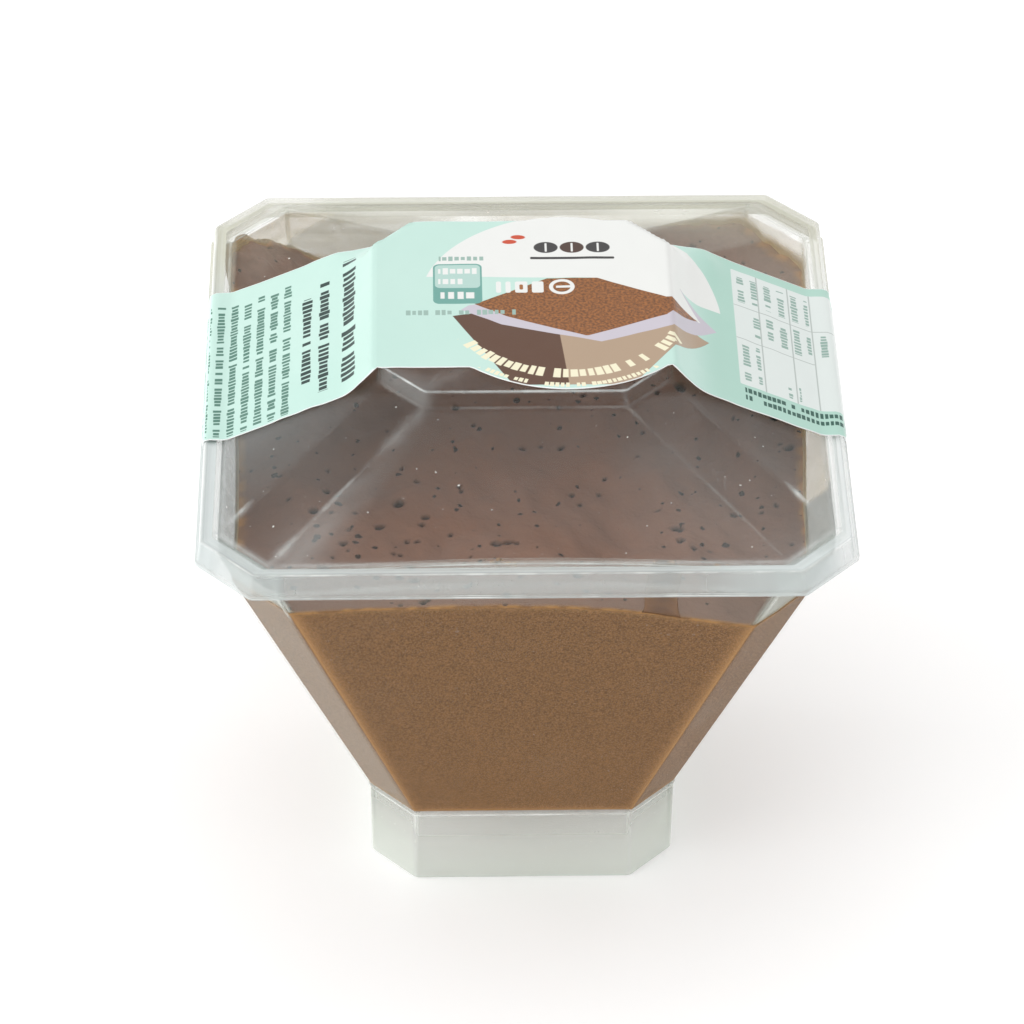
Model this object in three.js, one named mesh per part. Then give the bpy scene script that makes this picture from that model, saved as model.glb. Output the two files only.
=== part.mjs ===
// A portion of chocolate mousse in its clear square pot, with a domed push-on lid and a label
// band over the lid. Millimetres, +Z up. The origin is the centre of the foot's rim, on which
// the pot stands. Every level of the pot and the lid is a square with cut corners.

import * as THREE from 'three';

// ---- Driving dimensions -------------------------------------------------------------------

const GAP = 0.3; // clearance between pieces that touch
const CORNER_RADIUS = 1.2; // rounding of the eight upright edges
const CORNER_STEPS = 2; // straight pieces in each rounded edge
const SIDE_STEPS = 6; // pieces in a long side, where it may bow

// A level is { half, chamfer, z }: half the span, the leg of the cut corner, and the height.
const CUP_WALL = 0.64;
const FOOT_WALL = 0.8;
const FOOT_RIM = { half: 21.55, chamfer: 6.2, z: 0 };
const FOOT_TOP = { half: 21.7, chamfer: 6.3, z: 12.2 };
const CUP_SHOULDER = { half: 41.7, chamfer: 8.35, z: 69.05 };
const CUP_FLOOR_Z = 13.2;
const CUP_FLOOR_ROUND = 0.9; // rise of the rounded edge where floor meets wall
const FOOT_CEILING_Z = 11.9;
const RIM_TOP_Z = 73.1;
const RIM_THICKNESS = 0.8;
const RIM_REACH = 0.6; // how far the rim's flange stands out from the collar
const FRONT_BOW = 2.2; // how far the middle of the front wall is drawn in at the rim

const LID_WALL = 0.45;
const SKIRT_LIP = { half: 44.0, chamfer: 7.45, z: 70.3 };
const SKIRT_LIP_HEIGHT = 0.6;
const SKIRT_TOP = { half: 43.25, chamfer: 7.2, z: 74.0 };
const DOME_BASE = { half: 41.0, chamfer: 6.9, z: 73.75 };
const DOME_TOP = { half: 19.8, chamfer: 6.1, z: 83.35 };
const PLATEAU = { half: 19.65, chamfer: 6.2, z: 86.05 };
const EDGE_ROUND = 0.3; // width of the lid's softened edges

const MOUSSE_LEVEL = 63.3; // mean height of the mousse's top
const MOUSSE_FALL_X = -0.035; // the top falls towards +X
const MOUSSE_RISE_Y = 0.045; // and rises towards the back
const MOUSSE_CLIMB = 4.6; // how far it clings up the two back corners
const MOUSSE_CLIMB_REACH = 9;
const MOUSSE_RINGS = [0.985, 0.96, 0.92, 0.86, 0.76, 0.62, 0.44, 0.24];

const LABEL_THICKNESS = 0.3;
const LABEL_FRONT_Y = -14.5;
const LABEL_BACK_Y = 19.3;
const LABEL_DISC = { x: 6, y: 0.3, radius: 19.8 }; // round badge in the band's middle
const LABEL_OVERHANG = 0.8; // the film runs on past the plateau's edge before it dips
const LABEL_BRIDGE = 4.6; // and lands on the slope this much further out
const LABEL_TAIL = 3.3; // length of the film down the lid's skirt

// ---- Levels and rings ---------------------------------------------------------------------

// A parallel offset of a level: both the sides and the cut corners move in by the distance.
function inset(level, distance, z = level.z) {
  const chamfer = level.chamfer - distance * (2 - Math.SQRT2);
  return { half: level.half - distance, chamfer, z };
}

// The level at height z on the straight line through two levels.
function between(low, high, z) {
  const t = (z - low.z) / (high.z - low.z);
  const half = THREE.MathUtils.lerp(low.half, high.half, t);
  const chamfer = THREE.MathUtils.lerp(low.chamfer, high.chamfer, t);
  return { half, chamfer, z };
}

// One ring of points round a level, counter-clockwise from above. The corners are rounded, the
// long sides are divided, and bow draws in the middle of the front side.
function ring(level, bow = 0) {
  const { half, chamfer, z } = level;
  const flat = half - chamfer;
  const corners = [
    [half, -flat], [half, flat], [flat, half], [-flat, half],
    [-half, flat], [-half, -flat], [-flat, -half], [flat, -half],
  ].map(([x, y]) => new THREE.Vector2(x, y));
  const tangent = CORNER_RADIUS * Math.tan(Math.PI / 8);
  const towards = (from, to) => from.clone().addScaledVector(to.clone().sub(from).normalize(), tangent);

  const points = [];
  corners.forEach((corner, i) => {
    const before = corners[(i + 7) % 8];
    const after = corners[(i + 1) % 8];
    const start = towards(corner, before);
    const end = towards(corner, after);
    const arc = new THREE.QuadraticBezierCurve(start, corner, end);
    points.push(...arc.getPoints(CORNER_STEPS));
    if (i % 2 === 1) return; // a cut corner is short and stays undivided
    const goal = towards(after, corner);
    for (let step = 1; step < SIDE_STEPS; step += 1) {
      points.push(end.clone().lerp(goal, step / SIDE_STEPS));
    }
  });

  return points.map(({ x, y }) => {
    const onFront = y < -half + 0.5 * CORNER_RADIUS;
    const drawn = onFront ? bow * Math.max(0, 1 - (x / flat) ** 2) : 0;
    return new THREE.Vector3(x, y + drawn, z);
  });
}

// A closed body through rings in order, from the centre underneath, round the outside, to the
// centre above. Its two ends are closed by fans.
function loft(rings) {
  const count = rings[0].length;
  const vertices = rings.flat();
  const index = [];
  for (let row = 0; row + 1 < rings.length; row += 1) {
    for (let i = 0; i < count; i += 1) {
      const a = row * count + i;
      const b = row * count + ((i + 1) % count);
      index.push(a, b, b + count, a, b + count, a + count);
    }
  }
  const closeEnd = (row, flip) => {
    const centre = new THREE.Vector3();
    rings[row].forEach((point) => centre.addScaledVector(point, 1 / count));
    const hub = vertices.push(centre) - 1;
    for (let i = 0; i < count; i += 1) {
      const a = row * count + i;
      const b = row * count + ((i + 1) % count);
      index.push(hub, flip ? b : a, flip ? a : b);
    }
  };
  closeEnd(0, true);
  closeEnd(rings.length - 1, false);
  const geometry = new THREE.BufferGeometry().setFromPoints(vertices);
  geometry.setIndex(index);
  geometry.computeVertexNormals();
  return geometry;
}

// ---- Cup: flared body, rim flange and hollow foot in one moulding -------------------------

// The front wall's bow grows evenly from the foot to the rim.
const bowAt = (z) => FRONT_BOW * THREE.MathUtils.clamp((z - FOOT_TOP.z) / (RIM_TOP_Z - FOOT_TOP.z), 0, 1);
const cupRing = (level) => ring(level, bowAt(level.z));

// The inner face of the flared wall at height z, set in by a further distance.
const wallInside = (z, distance = 0) => inset(between(FOOT_TOP, CUP_SHOULDER, z), CUP_WALL + distance);

function cupGeometry() {
  const footInside = inset(FOOT_TOP, FOOT_WALL, FOOT_CEILING_Z);
  const collarInside = inset(CUP_SHOULDER, CUP_WALL, RIM_TOP_Z);
  const rimUnderside = RIM_TOP_Z - RIM_THICKNESS;
  return loft([
    footInside,
    inset(FOOT_RIM, FOOT_WALL),
    FOOT_RIM,
    FOOT_TOP,
    CUP_SHOULDER,
    inset(CUP_SHOULDER, 0, rimUnderside),
    inset(CUP_SHOULDER, -RIM_REACH, rimUnderside),
    inset(CUP_SHOULDER, -RIM_REACH, RIM_TOP_Z),
    collarInside,
    inset(CUP_SHOULDER, CUP_WALL),
    wallInside(CUP_FLOOR_Z + CUP_FLOOR_ROUND),
    wallInside(CUP_FLOOR_Z, CUP_FLOOR_ROUND),
  ].map(cupRing));
}

// ---- Mousse: fills the cup to its uneven top ----------------------------------------------

// The top's height: tilted, gently lumpy, and clinging up the two back corners.
function mousseTop(x, y) {
  const lumps = 0.25 * Math.sin(0.21 * x + 1) * Math.cos(0.17 * y) + 0.15 * Math.sin(0.43 * x - 0.37 * y);
  const corner = between(FOOT_TOP, CUP_SHOULDER, MOUSSE_LEVEL);
  const reach = corner.half - corner.chamfer / 2;
  const distance = Math.hypot(Math.abs(x) - reach, y - reach);
  const climb = MOUSSE_CLIMB * Math.exp(-((distance / MOUSSE_CLIMB_REACH) ** 2));
  return MOUSSE_LEVEL + MOUSSE_FALL_X * x + MOUSSE_RISE_Y * y + lumps + climb;
}

function mousseGeometry() {
  const skin = (z, distance = 0) => cupRing(wallInside(z, GAP + distance));
  const bottomZ = CUP_FLOOR_Z + GAP;
  const low = skin(bottomZ + CUP_FLOOR_ROUND);
  const high = skin(CUP_SHOULDER.z);
  // Where the top meets the wall, each point climbs its own straight line up the wall.
  const edge = low.map((start, i) => {
    const point = start.clone();
    for (let pass = 0; pass < 4; pass += 1) {
      const t = (mousseTop(point.x, point.y) - start.z) / (high[i].z - start.z);
      point.lerpVectors(start, high[i], t);
    }
    return point;
  });
  const inner = MOUSSE_RINGS.map((scale) => edge.map(({ x, y }) => {
    const [px, py] = [x * scale, y * scale];
    return new THREE.Vector3(px, py, mousseTop(px, py));
  }));
  return loft([skin(bottomZ, CUP_FLOOR_ROUND), low, edge, ...inner]);
}

// ---- Lid: skirt, narrow ledge, faceted dome, step and raised plateau ----------------------

function lidGeometry() {
  const lipTop = { ...SKIRT_LIP, z: SKIRT_LIP.z + SKIRT_LIP_HEIGHT };
  const skirtLow = inset(SKIRT_LIP, 0.25, lipTop.z + 0.15);
  const slope = (DOME_TOP.z - DOME_BASE.z) / (DOME_BASE.half - DOME_TOP.half);
  const drop = LID_WALL * Math.hypot(1, slope); // wall thickness measured straight down a slope
  const ledgeZ = DOME_BASE.z - LID_WALL;
  return loft([
    inset(PLATEAU, LID_WALL + EDGE_ROUND, PLATEAU.z - LID_WALL),
    inset(DOME_TOP, LID_WALL, DOME_TOP.z + LID_WALL * slope - drop),
    inset(DOME_BASE, (drop - LID_WALL) / slope, ledgeZ),
    inset(SKIRT_TOP, LID_WALL + EDGE_ROUND, ledgeZ),
    inset(SKIRT_TOP, LID_WALL, ledgeZ - EDGE_ROUND),
    inset(SKIRT_LIP, LID_WALL + 0.25),
    SKIRT_LIP,
    lipTop,
    skirtLow,
    inset(SKIRT_TOP, 0, SKIRT_TOP.z - EDGE_ROUND),
    inset(SKIRT_TOP, EDGE_ROUND),
    DOME_BASE,
    DOME_TOP,
    inset(PLATEAU, 0, PLATEAU.z - EDGE_ROUND),
    inset(PLATEAU, EDGE_ROUND),
  ].map((level) => ring(level)));
}

// ---- Label: a thin band over the lid with a round badge in its middle ---------------------

// Height of the lid's facets (not the plateau) over a point, and how far the point lies
// outside the plateau's outline.
function lidFacets(x, y) {
  const across = Math.max(Math.abs(x), Math.abs(y));
  const diagonal = (Math.abs(x) + Math.abs(y)) / Math.SQRT2;
  const corner = (level) => (2 * level.half - level.chamfer) / Math.SQRT2;
  const rise = DOME_TOP.z - DOME_BASE.z;
  const side = DOME_TOP.z - (rise * (across - DOME_TOP.half)) / (DOME_BASE.half - DOME_TOP.half);
  const cut = DOME_TOP.z - (rise * (diagonal - corner(DOME_TOP))) / (corner(DOME_BASE) - corner(DOME_TOP));
  const height = Math.max(Math.min(side, cut), DOME_BASE.z);
  const outside = Math.max(across - PLATEAU.half, diagonal - corner(PLATEAU));
  return { height, outside };
}

// The film lies flat on the plateau, bridges the step and lands on the slope.
function drape(x, y) {
  const { height, outside } = lidFacets(x, y);
  const past = outside - LABEL_OVERHANG;
  if (past <= 0) return PLATEAU.z;
  const t = Math.min(1, past / LABEL_BRIDGE);
  const edgeHeight = DOME_TOP.z - 0.45 * LABEL_OVERHANG;
  return height + (PLATEAU.z - edgeHeight) * (1 - t) ** 2;
}

// Stations along the band: x on top of the lid, or a drop down the skirt at either end.
function labelStations() {
  const plateauEdge = PLATEAU.half - 1.65;
  const slopeStart = PLATEAU.half + LABEL_OVERHANG + LABEL_BRIDGE;
  const side = [{ drop: LABEL_TAIL }, { drop: 0.35 }, { x: SKIRT_TOP.half - 0.1 }, { x: DOME_BASE.half }];
  for (let x = Math.ceil(slopeStart); x > plateauEdge; x -= 1) side.push({ x });
  const mirrored = side.map(({ x, drop }) => ({ x, drop, sign: 1 })).reverse();
  const left = side.map(({ x, drop }) => ({ x: x === undefined ? x : -x, drop, sign: -1 }));
  const middle = [];
  for (let x = -16.5; x <= 16.5; x += 1.5) middle.push({ x });
  return [...left, ...middle, ...mirrored];
}

function labelGeometry() {
  const rows = [0, 0.03, 0.06, 0.09, 0.12, 0.16, 0.22, 0.4, 0.6, 0.78, 0.84, 0.88, 0.91, 0.94, 0.97, 1];
  const stations = labelStations();
  // lift is the distance of this face of the film from the lid.
  const surface = (lift) => stations.map(({ x, drop, sign }) => {
    const planX = x ?? sign * SKIRT_TOP.half;
    const reach = LABEL_DISC.radius ** 2 - (planX - LABEL_DISC.x) ** 2;
    const disc = reach > 0 ? Math.sqrt(reach) : 0;
    const front = Math.min(LABEL_FRONT_Y, LABEL_DISC.y - disc);
    const back = Math.max(LABEL_BACK_Y, LABEL_DISC.y + disc);
    return rows.map((t) => {
      const y = THREE.MathUtils.lerp(front, back, t);
      if (drop === undefined) return new THREE.Vector3(x, y, drape(x, y) + 1.15 * lift);
      const z = SKIRT_TOP.z - drop;
      const flare = ((SKIRT_LIP.half - SKIRT_TOP.half) * drop) / (SKIRT_TOP.z - SKIRT_LIP.z);
      return new THREE.Vector3(sign * (SKIRT_TOP.half + flare + lift), y, z);
    });
  });
  const under = surface(GAP).flat();
  const over = surface(GAP + LABEL_THICKNESS).flat();
  const width = rows.length;
  const at = (layer, i, j) => layer * under.length + i * width + j;
  const index = [];
  const quad = (a, b, c, d) => index.push(a, b, c, a, c, d);
  for (let i = 0; i + 1 < stations.length; i += 1) {
    for (let j = 0; j + 1 < width; j += 1) {
      quad(at(1, i, j), at(1, i + 1, j), at(1, i + 1, j + 1), at(1, i, j + 1));
      quad(at(0, i, j), at(0, i, j + 1), at(0, i + 1, j + 1), at(0, i + 1, j));
    }
    quad(at(0, i, 0), at(0, i + 1, 0), at(1, i + 1, 0), at(1, i, 0));
    quad(at(0, i + 1, width - 1), at(0, i, width - 1), at(1, i, width - 1), at(1, i + 1, width - 1));
  }
  const last = stations.length - 1;
  for (let j = 0; j + 1 < width; j += 1) {
    quad(at(0, 0, j + 1), at(0, 0, j), at(1, 0, j), at(1, 0, j + 1));
    quad(at(0, last, j), at(0, last, j + 1), at(1, last, j + 1), at(1, last, j));
  }
  const geometry = new THREE.BufferGeometry().setFromPoints([...under, ...over]);
  geometry.setIndex(index);
  geometry.computeVertexNormals();
  return geometry;
}

// ---- The part -----------------------------------------------------------------------------

function piece(name, geometry, color, roughness, opacity = 1) {
  const material = new THREE.MeshStandardMaterial({
    color, roughness, metalness: 0, transparent: opacity < 1, opacity,
  });
  const mesh = new THREE.Mesh(geometry, material);
  mesh.name = name;
  return mesh;
}

const pot = new THREE.Group();
pot.add(piece('cup', cupGeometry(), 0xdfe3e0, 0.15, 0.35));
pot.add(piece('mousse', mousseGeometry(), 0x7a5a42, 0.8));
pot.add(piece('lid', lidGeometry(), 0xe4e8e6, 0.12, 0.3));
pot.add(piece('label', labelGeometry(), 0xb9e4d4, 0.35));

export default pot;
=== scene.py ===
"""A portion of chocolate mousse in a clear flared square pot, with a domed push-on lid and a label band.

Metres, +Z up, in the frame of the construction model. Every level of the pot and the lid is a
square with cut corners.
"""

import math
from collections import namedtuple

import bpy
import numpy as np
from mathutils import Matrix, Vector


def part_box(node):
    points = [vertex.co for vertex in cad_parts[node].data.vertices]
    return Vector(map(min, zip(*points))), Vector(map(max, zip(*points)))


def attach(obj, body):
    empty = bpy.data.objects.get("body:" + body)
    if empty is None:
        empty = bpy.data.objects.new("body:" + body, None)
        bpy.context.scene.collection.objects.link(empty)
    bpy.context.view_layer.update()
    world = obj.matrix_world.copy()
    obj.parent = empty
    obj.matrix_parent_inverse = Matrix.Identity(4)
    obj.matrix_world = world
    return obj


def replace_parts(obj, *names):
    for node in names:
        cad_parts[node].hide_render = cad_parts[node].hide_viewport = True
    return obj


bl_info = {
    "name": "Chocolate Mousse Pot",
    "version": (1, 0, 0),
    "blender": (4, 5, 0),
    "location": "View3D > Sidebar > Mousse Pot",
    "description": "Builds a clear pot of chocolate mousse with its lid, label band and studio",
    "category": "Object",
}

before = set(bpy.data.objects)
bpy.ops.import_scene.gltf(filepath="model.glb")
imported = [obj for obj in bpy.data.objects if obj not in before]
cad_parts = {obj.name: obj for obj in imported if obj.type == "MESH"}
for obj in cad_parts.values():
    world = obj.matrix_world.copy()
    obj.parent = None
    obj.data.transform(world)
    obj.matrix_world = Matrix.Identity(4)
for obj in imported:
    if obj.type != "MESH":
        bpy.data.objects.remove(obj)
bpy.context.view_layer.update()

MM = 0.001
BODY = "root"
Level = namedtuple("Level", "half chamfer z")  # half the span, the leg of the cut corner, the height
# glow is a painted highlight: bright milky colour laid along an edge's rounding for the light it would catch
Stop = namedtuple("Stop", "level round glow haze")  # a corner of a wall's profile

CUP_LOW, CUP_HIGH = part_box("cup")
LID_LOW, LID_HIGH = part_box("lid")
MOUSSE_LOW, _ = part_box("mousse")

# Pot
FOOT_RIM = Level(21.55 * MM, 6.2 * MM, CUP_LOW.z)
FOOT_TOP = Level(21.7 * MM, 6.3 * MM, 12.2 * MM)
SHOULDER = Level(41.7 * MM, 8.35 * MM, 69.05 * MM)
RIM_Z = CUP_HIGH.z
FOOT_CEILING_Z = 11.9 * MM
CUP_FLOOR_Z = MOUSSE_LOW.z - 0.3 * MM
FLOOR_ROUND = 0.9 * MM
RIM_THICKNESS = 0.8 * MM
RIM_REACH = 0.6 * MM
FRONT_BOW = 2.2 * MM

# Lid
SKIRT_LIP = Level(LID_HIGH.x, 7.45 * MM, LID_LOW.z)
SKIRT_TOP = Level(43.25 * MM, 7.2 * MM, 74.0 * MM)
DOME_BASE = Level(41.0 * MM, 6.9 * MM, 73.75 * MM)
DOME_TOP = Level(19.8 * MM, 6.1 * MM, 83.35 * MM)
PLATEAU = Level(19.65 * MM, 6.2 * MM, LID_HIGH.z)

# Label band
BAND_FRONT = -14.5 * MM
BAND_BACK = 19.3 * MM
BADGE = (6.0 * MM, 0.3 * MM, 19.8 * MM)  # centre and radius
BAND_OVERHANG = 0.8 * MM
BAND_BRIDGE = 4.6 * MM
BAND_TAIL = 3.3 * MM

FRONT = 6  # the front's number among the eight sides, counted from the +X side
CORNER_RADIUS = 1.2 * MM
CORNER_STEPS = 6
ARC_STEPS = 5
SUPPORT = 0.3 * MM  # distance of the extra line that keeps a flat wall flat up to its rounding


# ---- Levels, outlines and profiles --------------------------------------------------------

def inset(level, distance, z=None):
    """A parallel offset of a level."""
    chamfer = level.chamfer - distance * (2 - math.sqrt(2))
    return Level(level.half - distance, chamfer, level.z if z is None else z)


def mix_levels(a, b, t):
    """The level at share t of the way from a to b."""
    return Level(*(p + (q - p) * t for p, q in zip(a, b)))


def level_at(low, high, z):
    """The level at height z on the straight line through two levels."""
    return mix_levels(low, high, (z - low.z) / (high.z - low.z))


def corners_of(level):
    """The eight corners of a level, counter-clockwise from the front end of its +X side."""
    half, flat = level.half, level.half - level.chamfer
    return np.array([(half, -flat), (half, flat), (flat, half), (-flat, half),
                     (-half, flat), (-half, -flat), (-flat, -half), (flat, -half)])


def bow_at(z):
    """How far the middle of the front wall is drawn in at height z."""
    return FRONT_BOW * np.clip((z - FOOT_TOP.z) / (RIM_Z - FOOT_TOP.z), 0, 1)


def drawn_in(level, bow, x):
    """How far the front wall is drawn in at x, when its middle is drawn in by the bow."""
    return bow * np.clip(1 - (x / (level.half - level.chamfer)) ** 2, 0, 1)


def at_height(xy, z):
    """Points of the plane, lifted to one height."""
    return np.column_stack([xy, np.full(len(xy), z)])


def outline(level, bow=0.0, long_steps=26, short_steps=6):
    """Points round a level, counter-clockwise, and how near each lies to an upright edge (1 on it)."""
    corners = [Vector(corner) for corner in corners_of(level)]
    reach = CORNER_RADIUS * math.tan(math.pi / 8)
    places, edges = [], []
    for i, corner in enumerate(corners):
        before, after = corners[i - 1], corners[(i + 1) % 8]
        start = corner + (before - corner).normalized() * reach
        end = corner + (after - corner).normalized() * reach
        for step in range(CORNER_STEPS + 1):
            t = step / CORNER_STEPS
            places.append(start * (1 - t) ** 2 + corner * 2 * t * (1 - t) + end * t * t)
            edges.append(math.sin(math.pi * t))
        goal = after + (corner - after).normalized() * reach
        along = goal - end
        steps = long_steps if i % 2 == 0 else short_steps
        margin = SUPPORT / along.length
        shares = [margin] + [k / steps for k in range(1, steps)] + [1 - margin]
        places += [end + along * share for share in shares]
        edges += [0.0] * len(shares)
    xy = np.array(places)
    on_front = xy[:, 1] < -level.half + 0.5 * CORNER_RADIUS
    xy[:, 1] += np.where(on_front, drawn_in(level, bow, xy[:, 0]), 0)
    return xy, np.array(edges)


def profile(stops):
    """Turns a wall's profile into rings: each corner becomes an arc with a support line beside it."""
    rings = []
    for i, stop in enumerate(stops):
        if stop.round == 0 or i in (0, len(stops) - 1):
            rings.append(Stop(stop.level, 0, stop.glow, stop.haze))
            continue
        ends = []
        for other in (stops[i - 1], stops[i + 1]):
            span = math.dist((stop.level.half, stop.level.z), (other.level.half, other.level.z))
            ends.append((other, min(stop.round / span, 0.42), min((stop.round + SUPPORT) / span, 0.46)))
        (before, near_a, far_a), (after, near_b, far_b) = ends
        start = mix_levels(stop.level, before.level, near_a)
        end = mix_levels(stop.level, after.level, near_b)
        rings.append(Stop(mix_levels(stop.level, before.level, far_a), 0, 0, stop.haze))
        for step in range(ARC_STEPS + 1):
            t = step / ARC_STEPS
            arc = mix_levels(mix_levels(start, stop.level, t), mix_levels(stop.level, end, t), t)
            rings.append(Stop(arc, 0, stop.glow * math.sin(math.pi * t), stop.haze))
        rings.append(Stop(mix_levels(stop.level, after.level, far_b), 0, 0, stop.haze))
    return rings


# ---- Meshes -------------------------------------------------------------------------------

def grid_faces(rows, count, closed=True):
    """Quads between consecutive rows of count points."""
    last = count if closed else count - 1
    r, i = np.meshgrid(np.arange(rows - 1), np.arange(last), indexing="ij")
    j = (i + 1) % count
    quads = np.stack([r * count + i, r * count + j, (r + 1) * count + j, (r + 1) * count + i], -1)
    return quads.reshape(-1, 4)


def fan_faces(row_start, count, hub, flip):
    """Triangles from a ring to a hub point."""
    i = row_start + np.arange(count)
    j = row_start + (np.arange(count) + 1) % count
    first, second = (j, i) if flip else (i, j)
    return np.stack([np.full(count, hub), first, second], -1)


def link_object(name, data):
    """A new object in the scene, at the origin."""
    item = bpy.data.objects.new(name, data)
    bpy.context.scene.collection.objects.link(item)
    return item


def add_piece(name, vertices, faces, material, attributes):
    """Makes a smooth mesh piece from points in metres and lists of corner numbers."""
    mesh = bpy.data.meshes.new(name)
    mesh.from_pydata([tuple(v) for v in vertices], [], [tuple(int(k) for k in f) for f in faces])
    for key, values in attributes.items():
        layer = mesh.attributes.new(key, "FLOAT", "POINT")
        layer.data.foreach_set("value", np.asarray(values, np.float32))
    mesh.polygons.foreach_set("use_smooth", [True] * len(mesh.polygons))
    mesh.materials.append(material)
    mesh.validate()
    mesh.update()
    piece = link_object(name, mesh)
    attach(piece, BODY)
    return piece


def rewrite_mark(piece, key, function):
    """Changes a vertex attribute to function(x, y, z, old values)."""
    count = len(piece.data.vertices)
    places, values = np.zeros(count * 3, np.float32), np.zeros(count, np.float32)
    piece.data.vertices.foreach_get("co", places)
    layer = piece.data.attributes[key].data
    layer.foreach_get("value", values)
    x, y, z = places.reshape(-1, 3).astype(float).T
    layer.foreach_set("value", function(x, y, z, values).astype(np.float32))


def loft_piece(name, stops, material, bowed, corner_glow, corner_haze):
    """A closed shell through a profile's rings, from the centre underneath, round to the centre above."""
    rings = profile(stops)
    shapes = [outline(s.level, bow_at(s.level.z) if bowed else 0.0) for s in rings]
    count = len(shapes[0][0])
    rows, glow, haze = [], [], []
    for ring, (xy, edges) in zip(rings, shapes):
        rows.append(at_height(xy, ring.level.z))
        glow.append(np.maximum(ring.glow, edges * corner_glow))
        haze.append(ring.haze + edges * corner_haze)
    for shrink in (0.75, 0.5, 0.25, 0.06):  # flat ends are divided towards their middle
        for end in (0, -1):
            at, ring = 0 if end == 0 else len(rows), rings[end]
            rows.insert(at, at_height(shapes[end][0] * shrink, ring.level.z))
            glow.insert(at, np.zeros(count))
            haze.insert(at, np.full(count, ring.haze))
    vertices = np.vstack(rows)
    faces = list(grid_faces(len(rows), count))
    hubs = []
    for row, flip in ((0, True), (len(rows) - 1, False)):
        hubs.append([0.0, 0.0, rows[row][0, 2]])
        faces += list(fan_faces(row * count, count, len(vertices) + len(hubs) - 1, flip))
    vertices = np.vstack([vertices, hubs])
    marks = {
        "glow": np.concatenate([*glow, [0, 0]]),
        "haze": np.concatenate([*haze, [rings[0].haze, rings[-1].haze]]),
    }
    return add_piece(name, vertices, faces, material, marks)


def ripples(xy, wavelength, rng, waves=20):
    """A smooth random height over the plane, of about unit size."""
    total = np.zeros(len(xy))
    for _ in range(waves):
        angle, phase = rng.uniform(0, 2 * math.pi, 2)
        pitch = 2 * math.pi / (wavelength * rng.uniform(0.7, 1.5))
        total += np.cos(pitch * (xy[:, 0] * math.cos(angle) + xy[:, 1] * math.sin(angle)) + phase)
    return total * math.sqrt(2 / waves)


def smooth(t):
    """0 below 0, 1 above 1, and an S-curve between."""
    t = np.clip(t, 0, 1)
    return t * t * (3 - 2 * t)


def ramp(value, start, rise):
    """0 up to start, 1 from start + rise on, and an S-curve between."""
    return smooth((value - start) / rise)


def between(value, start, rise, end, fall):
    """1 between start and end, with soft edges that take rise and fall."""
    return ramp(value, start, rise) * (1 - ramp(value, end, fall))


def hump(distance, reach):
    """A soft bump: 1 at no distance, falling away over the reach."""
    return np.exp(-((distance / reach) ** 2))


def mound(across, wide, along, deep):
    """A soft bump with a different reach in two directions."""
    return np.exp(-((across / wide) ** 2 + (along / deep) ** 2))


# ---- Node helpers -------------------------------------------------------------------------

def colour(red, green, blue):
    """A display colour, 0 to 255, as linear RGBA."""
    linear = []
    for value in (red, green, blue):
        c = value / 255
        linear.append(c / 12.92 if c <= 0.04045 else ((c + 0.055) / 1.055) ** 2.4)
    return (*linear, 1.0)


def rgba(tint, *shares):
    """A setting's colour, darker or lighter by one share or by one for each channel."""
    if len(shares) < 3:
        shares = (*shares, 1.0)[:1] * 3
    return (*(c * share for c, share in zip(tint[:3], shares)), 1.0)


class Nodes:
    """Adds nodes to a tree and joins them."""

    def __init__(self, tree):
        self.tree = tree
        self.column = 0

    def add(self, kind, inputs=None, **settings):
        """A node with its inputs linked or set, and its own settings."""
        node = self.tree.nodes.new(kind)
        node.location = (self.column * 190, 0)
        self.column += 1
        for key, value in settings.items():
            setattr(node, key, value)
        for key, value in (inputs or {}).items():
            if isinstance(value, bpy.types.NodeSocket):
                self.tree.links.new(value, node.inputs[key])
            else:
                node.inputs[key].default_value = value
        return node

    def math(self, operation, *values, clamp=False):
        node = self.add("ShaderNodeMath", dict(enumerate(values)), operation=operation, use_clamp=clamp)
        return node.outputs[0]

    def plus(self, a, b):
        return self.math("ADD", a, b)

    def minus(self, a, b):
        return self.math("SUBTRACT", a, b)

    def times(self, a, b, clamp=False):
        return self.math("MULTIPLY", a, b, clamp=clamp)

    def bump(self, strength, distance, height):
        inputs = {"Strength": strength, "Distance": distance, "Height": height}
        return self.add("ShaderNodeBump", inputs).outputs[0]

    def axes(self, place):
        return self.add("ShaderNodeSeparateXYZ", {0: place}).outputs

    def span(self, value, low, high, start=0.0, end=1.0, smooth_steps=False):
        """Maps value from low..high to start..end and holds it there."""
        kind = "SMOOTHSTEP" if smooth_steps else "LINEAR"
        inputs = {"Value": value, "From Min": low, "From Max": high, "To Min": start, "To Max": end}
        return self.add("ShaderNodeMapRange", inputs, interpolation_type=kind).outputs["Result"]

    def blend(self, factor, a, b):
        """One colour over another by a factor."""
        return self.add("ShaderNodeMix", {0: factor, 6: a, 7: b}, data_type="RGBA").outputs[2]

    def attribute(self, name):
        return self.add("ShaderNodeAttribute", attribute_name=name).outputs["Fac"]

    def noise(self, place, scale, detail=2.0, roughness=0.5):
        """Fractal noise, with scale in waves per metre."""
        inputs = {"Vector": place, "Scale": scale, "Detail": detail, "Roughness": roughness}
        return self.add("ShaderNodeTexNoise", inputs).outputs["Fac"]

    def group(self, tree, **inputs):
        node = self.add("ShaderNodeGroup", node_tree=tree)
        for key, value in inputs.items():
            socket = node.inputs[key.replace("_", " ")]
            if isinstance(value, bpy.types.NodeSocket):
                self.tree.links.new(value, socket)
            else:
                socket.default_value = value
        return node.outputs


SOCKETS = {"value": "NodeSocketFloat", "colour": "NodeSocketColor", "vector": "NodeSocketVector"}


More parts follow.
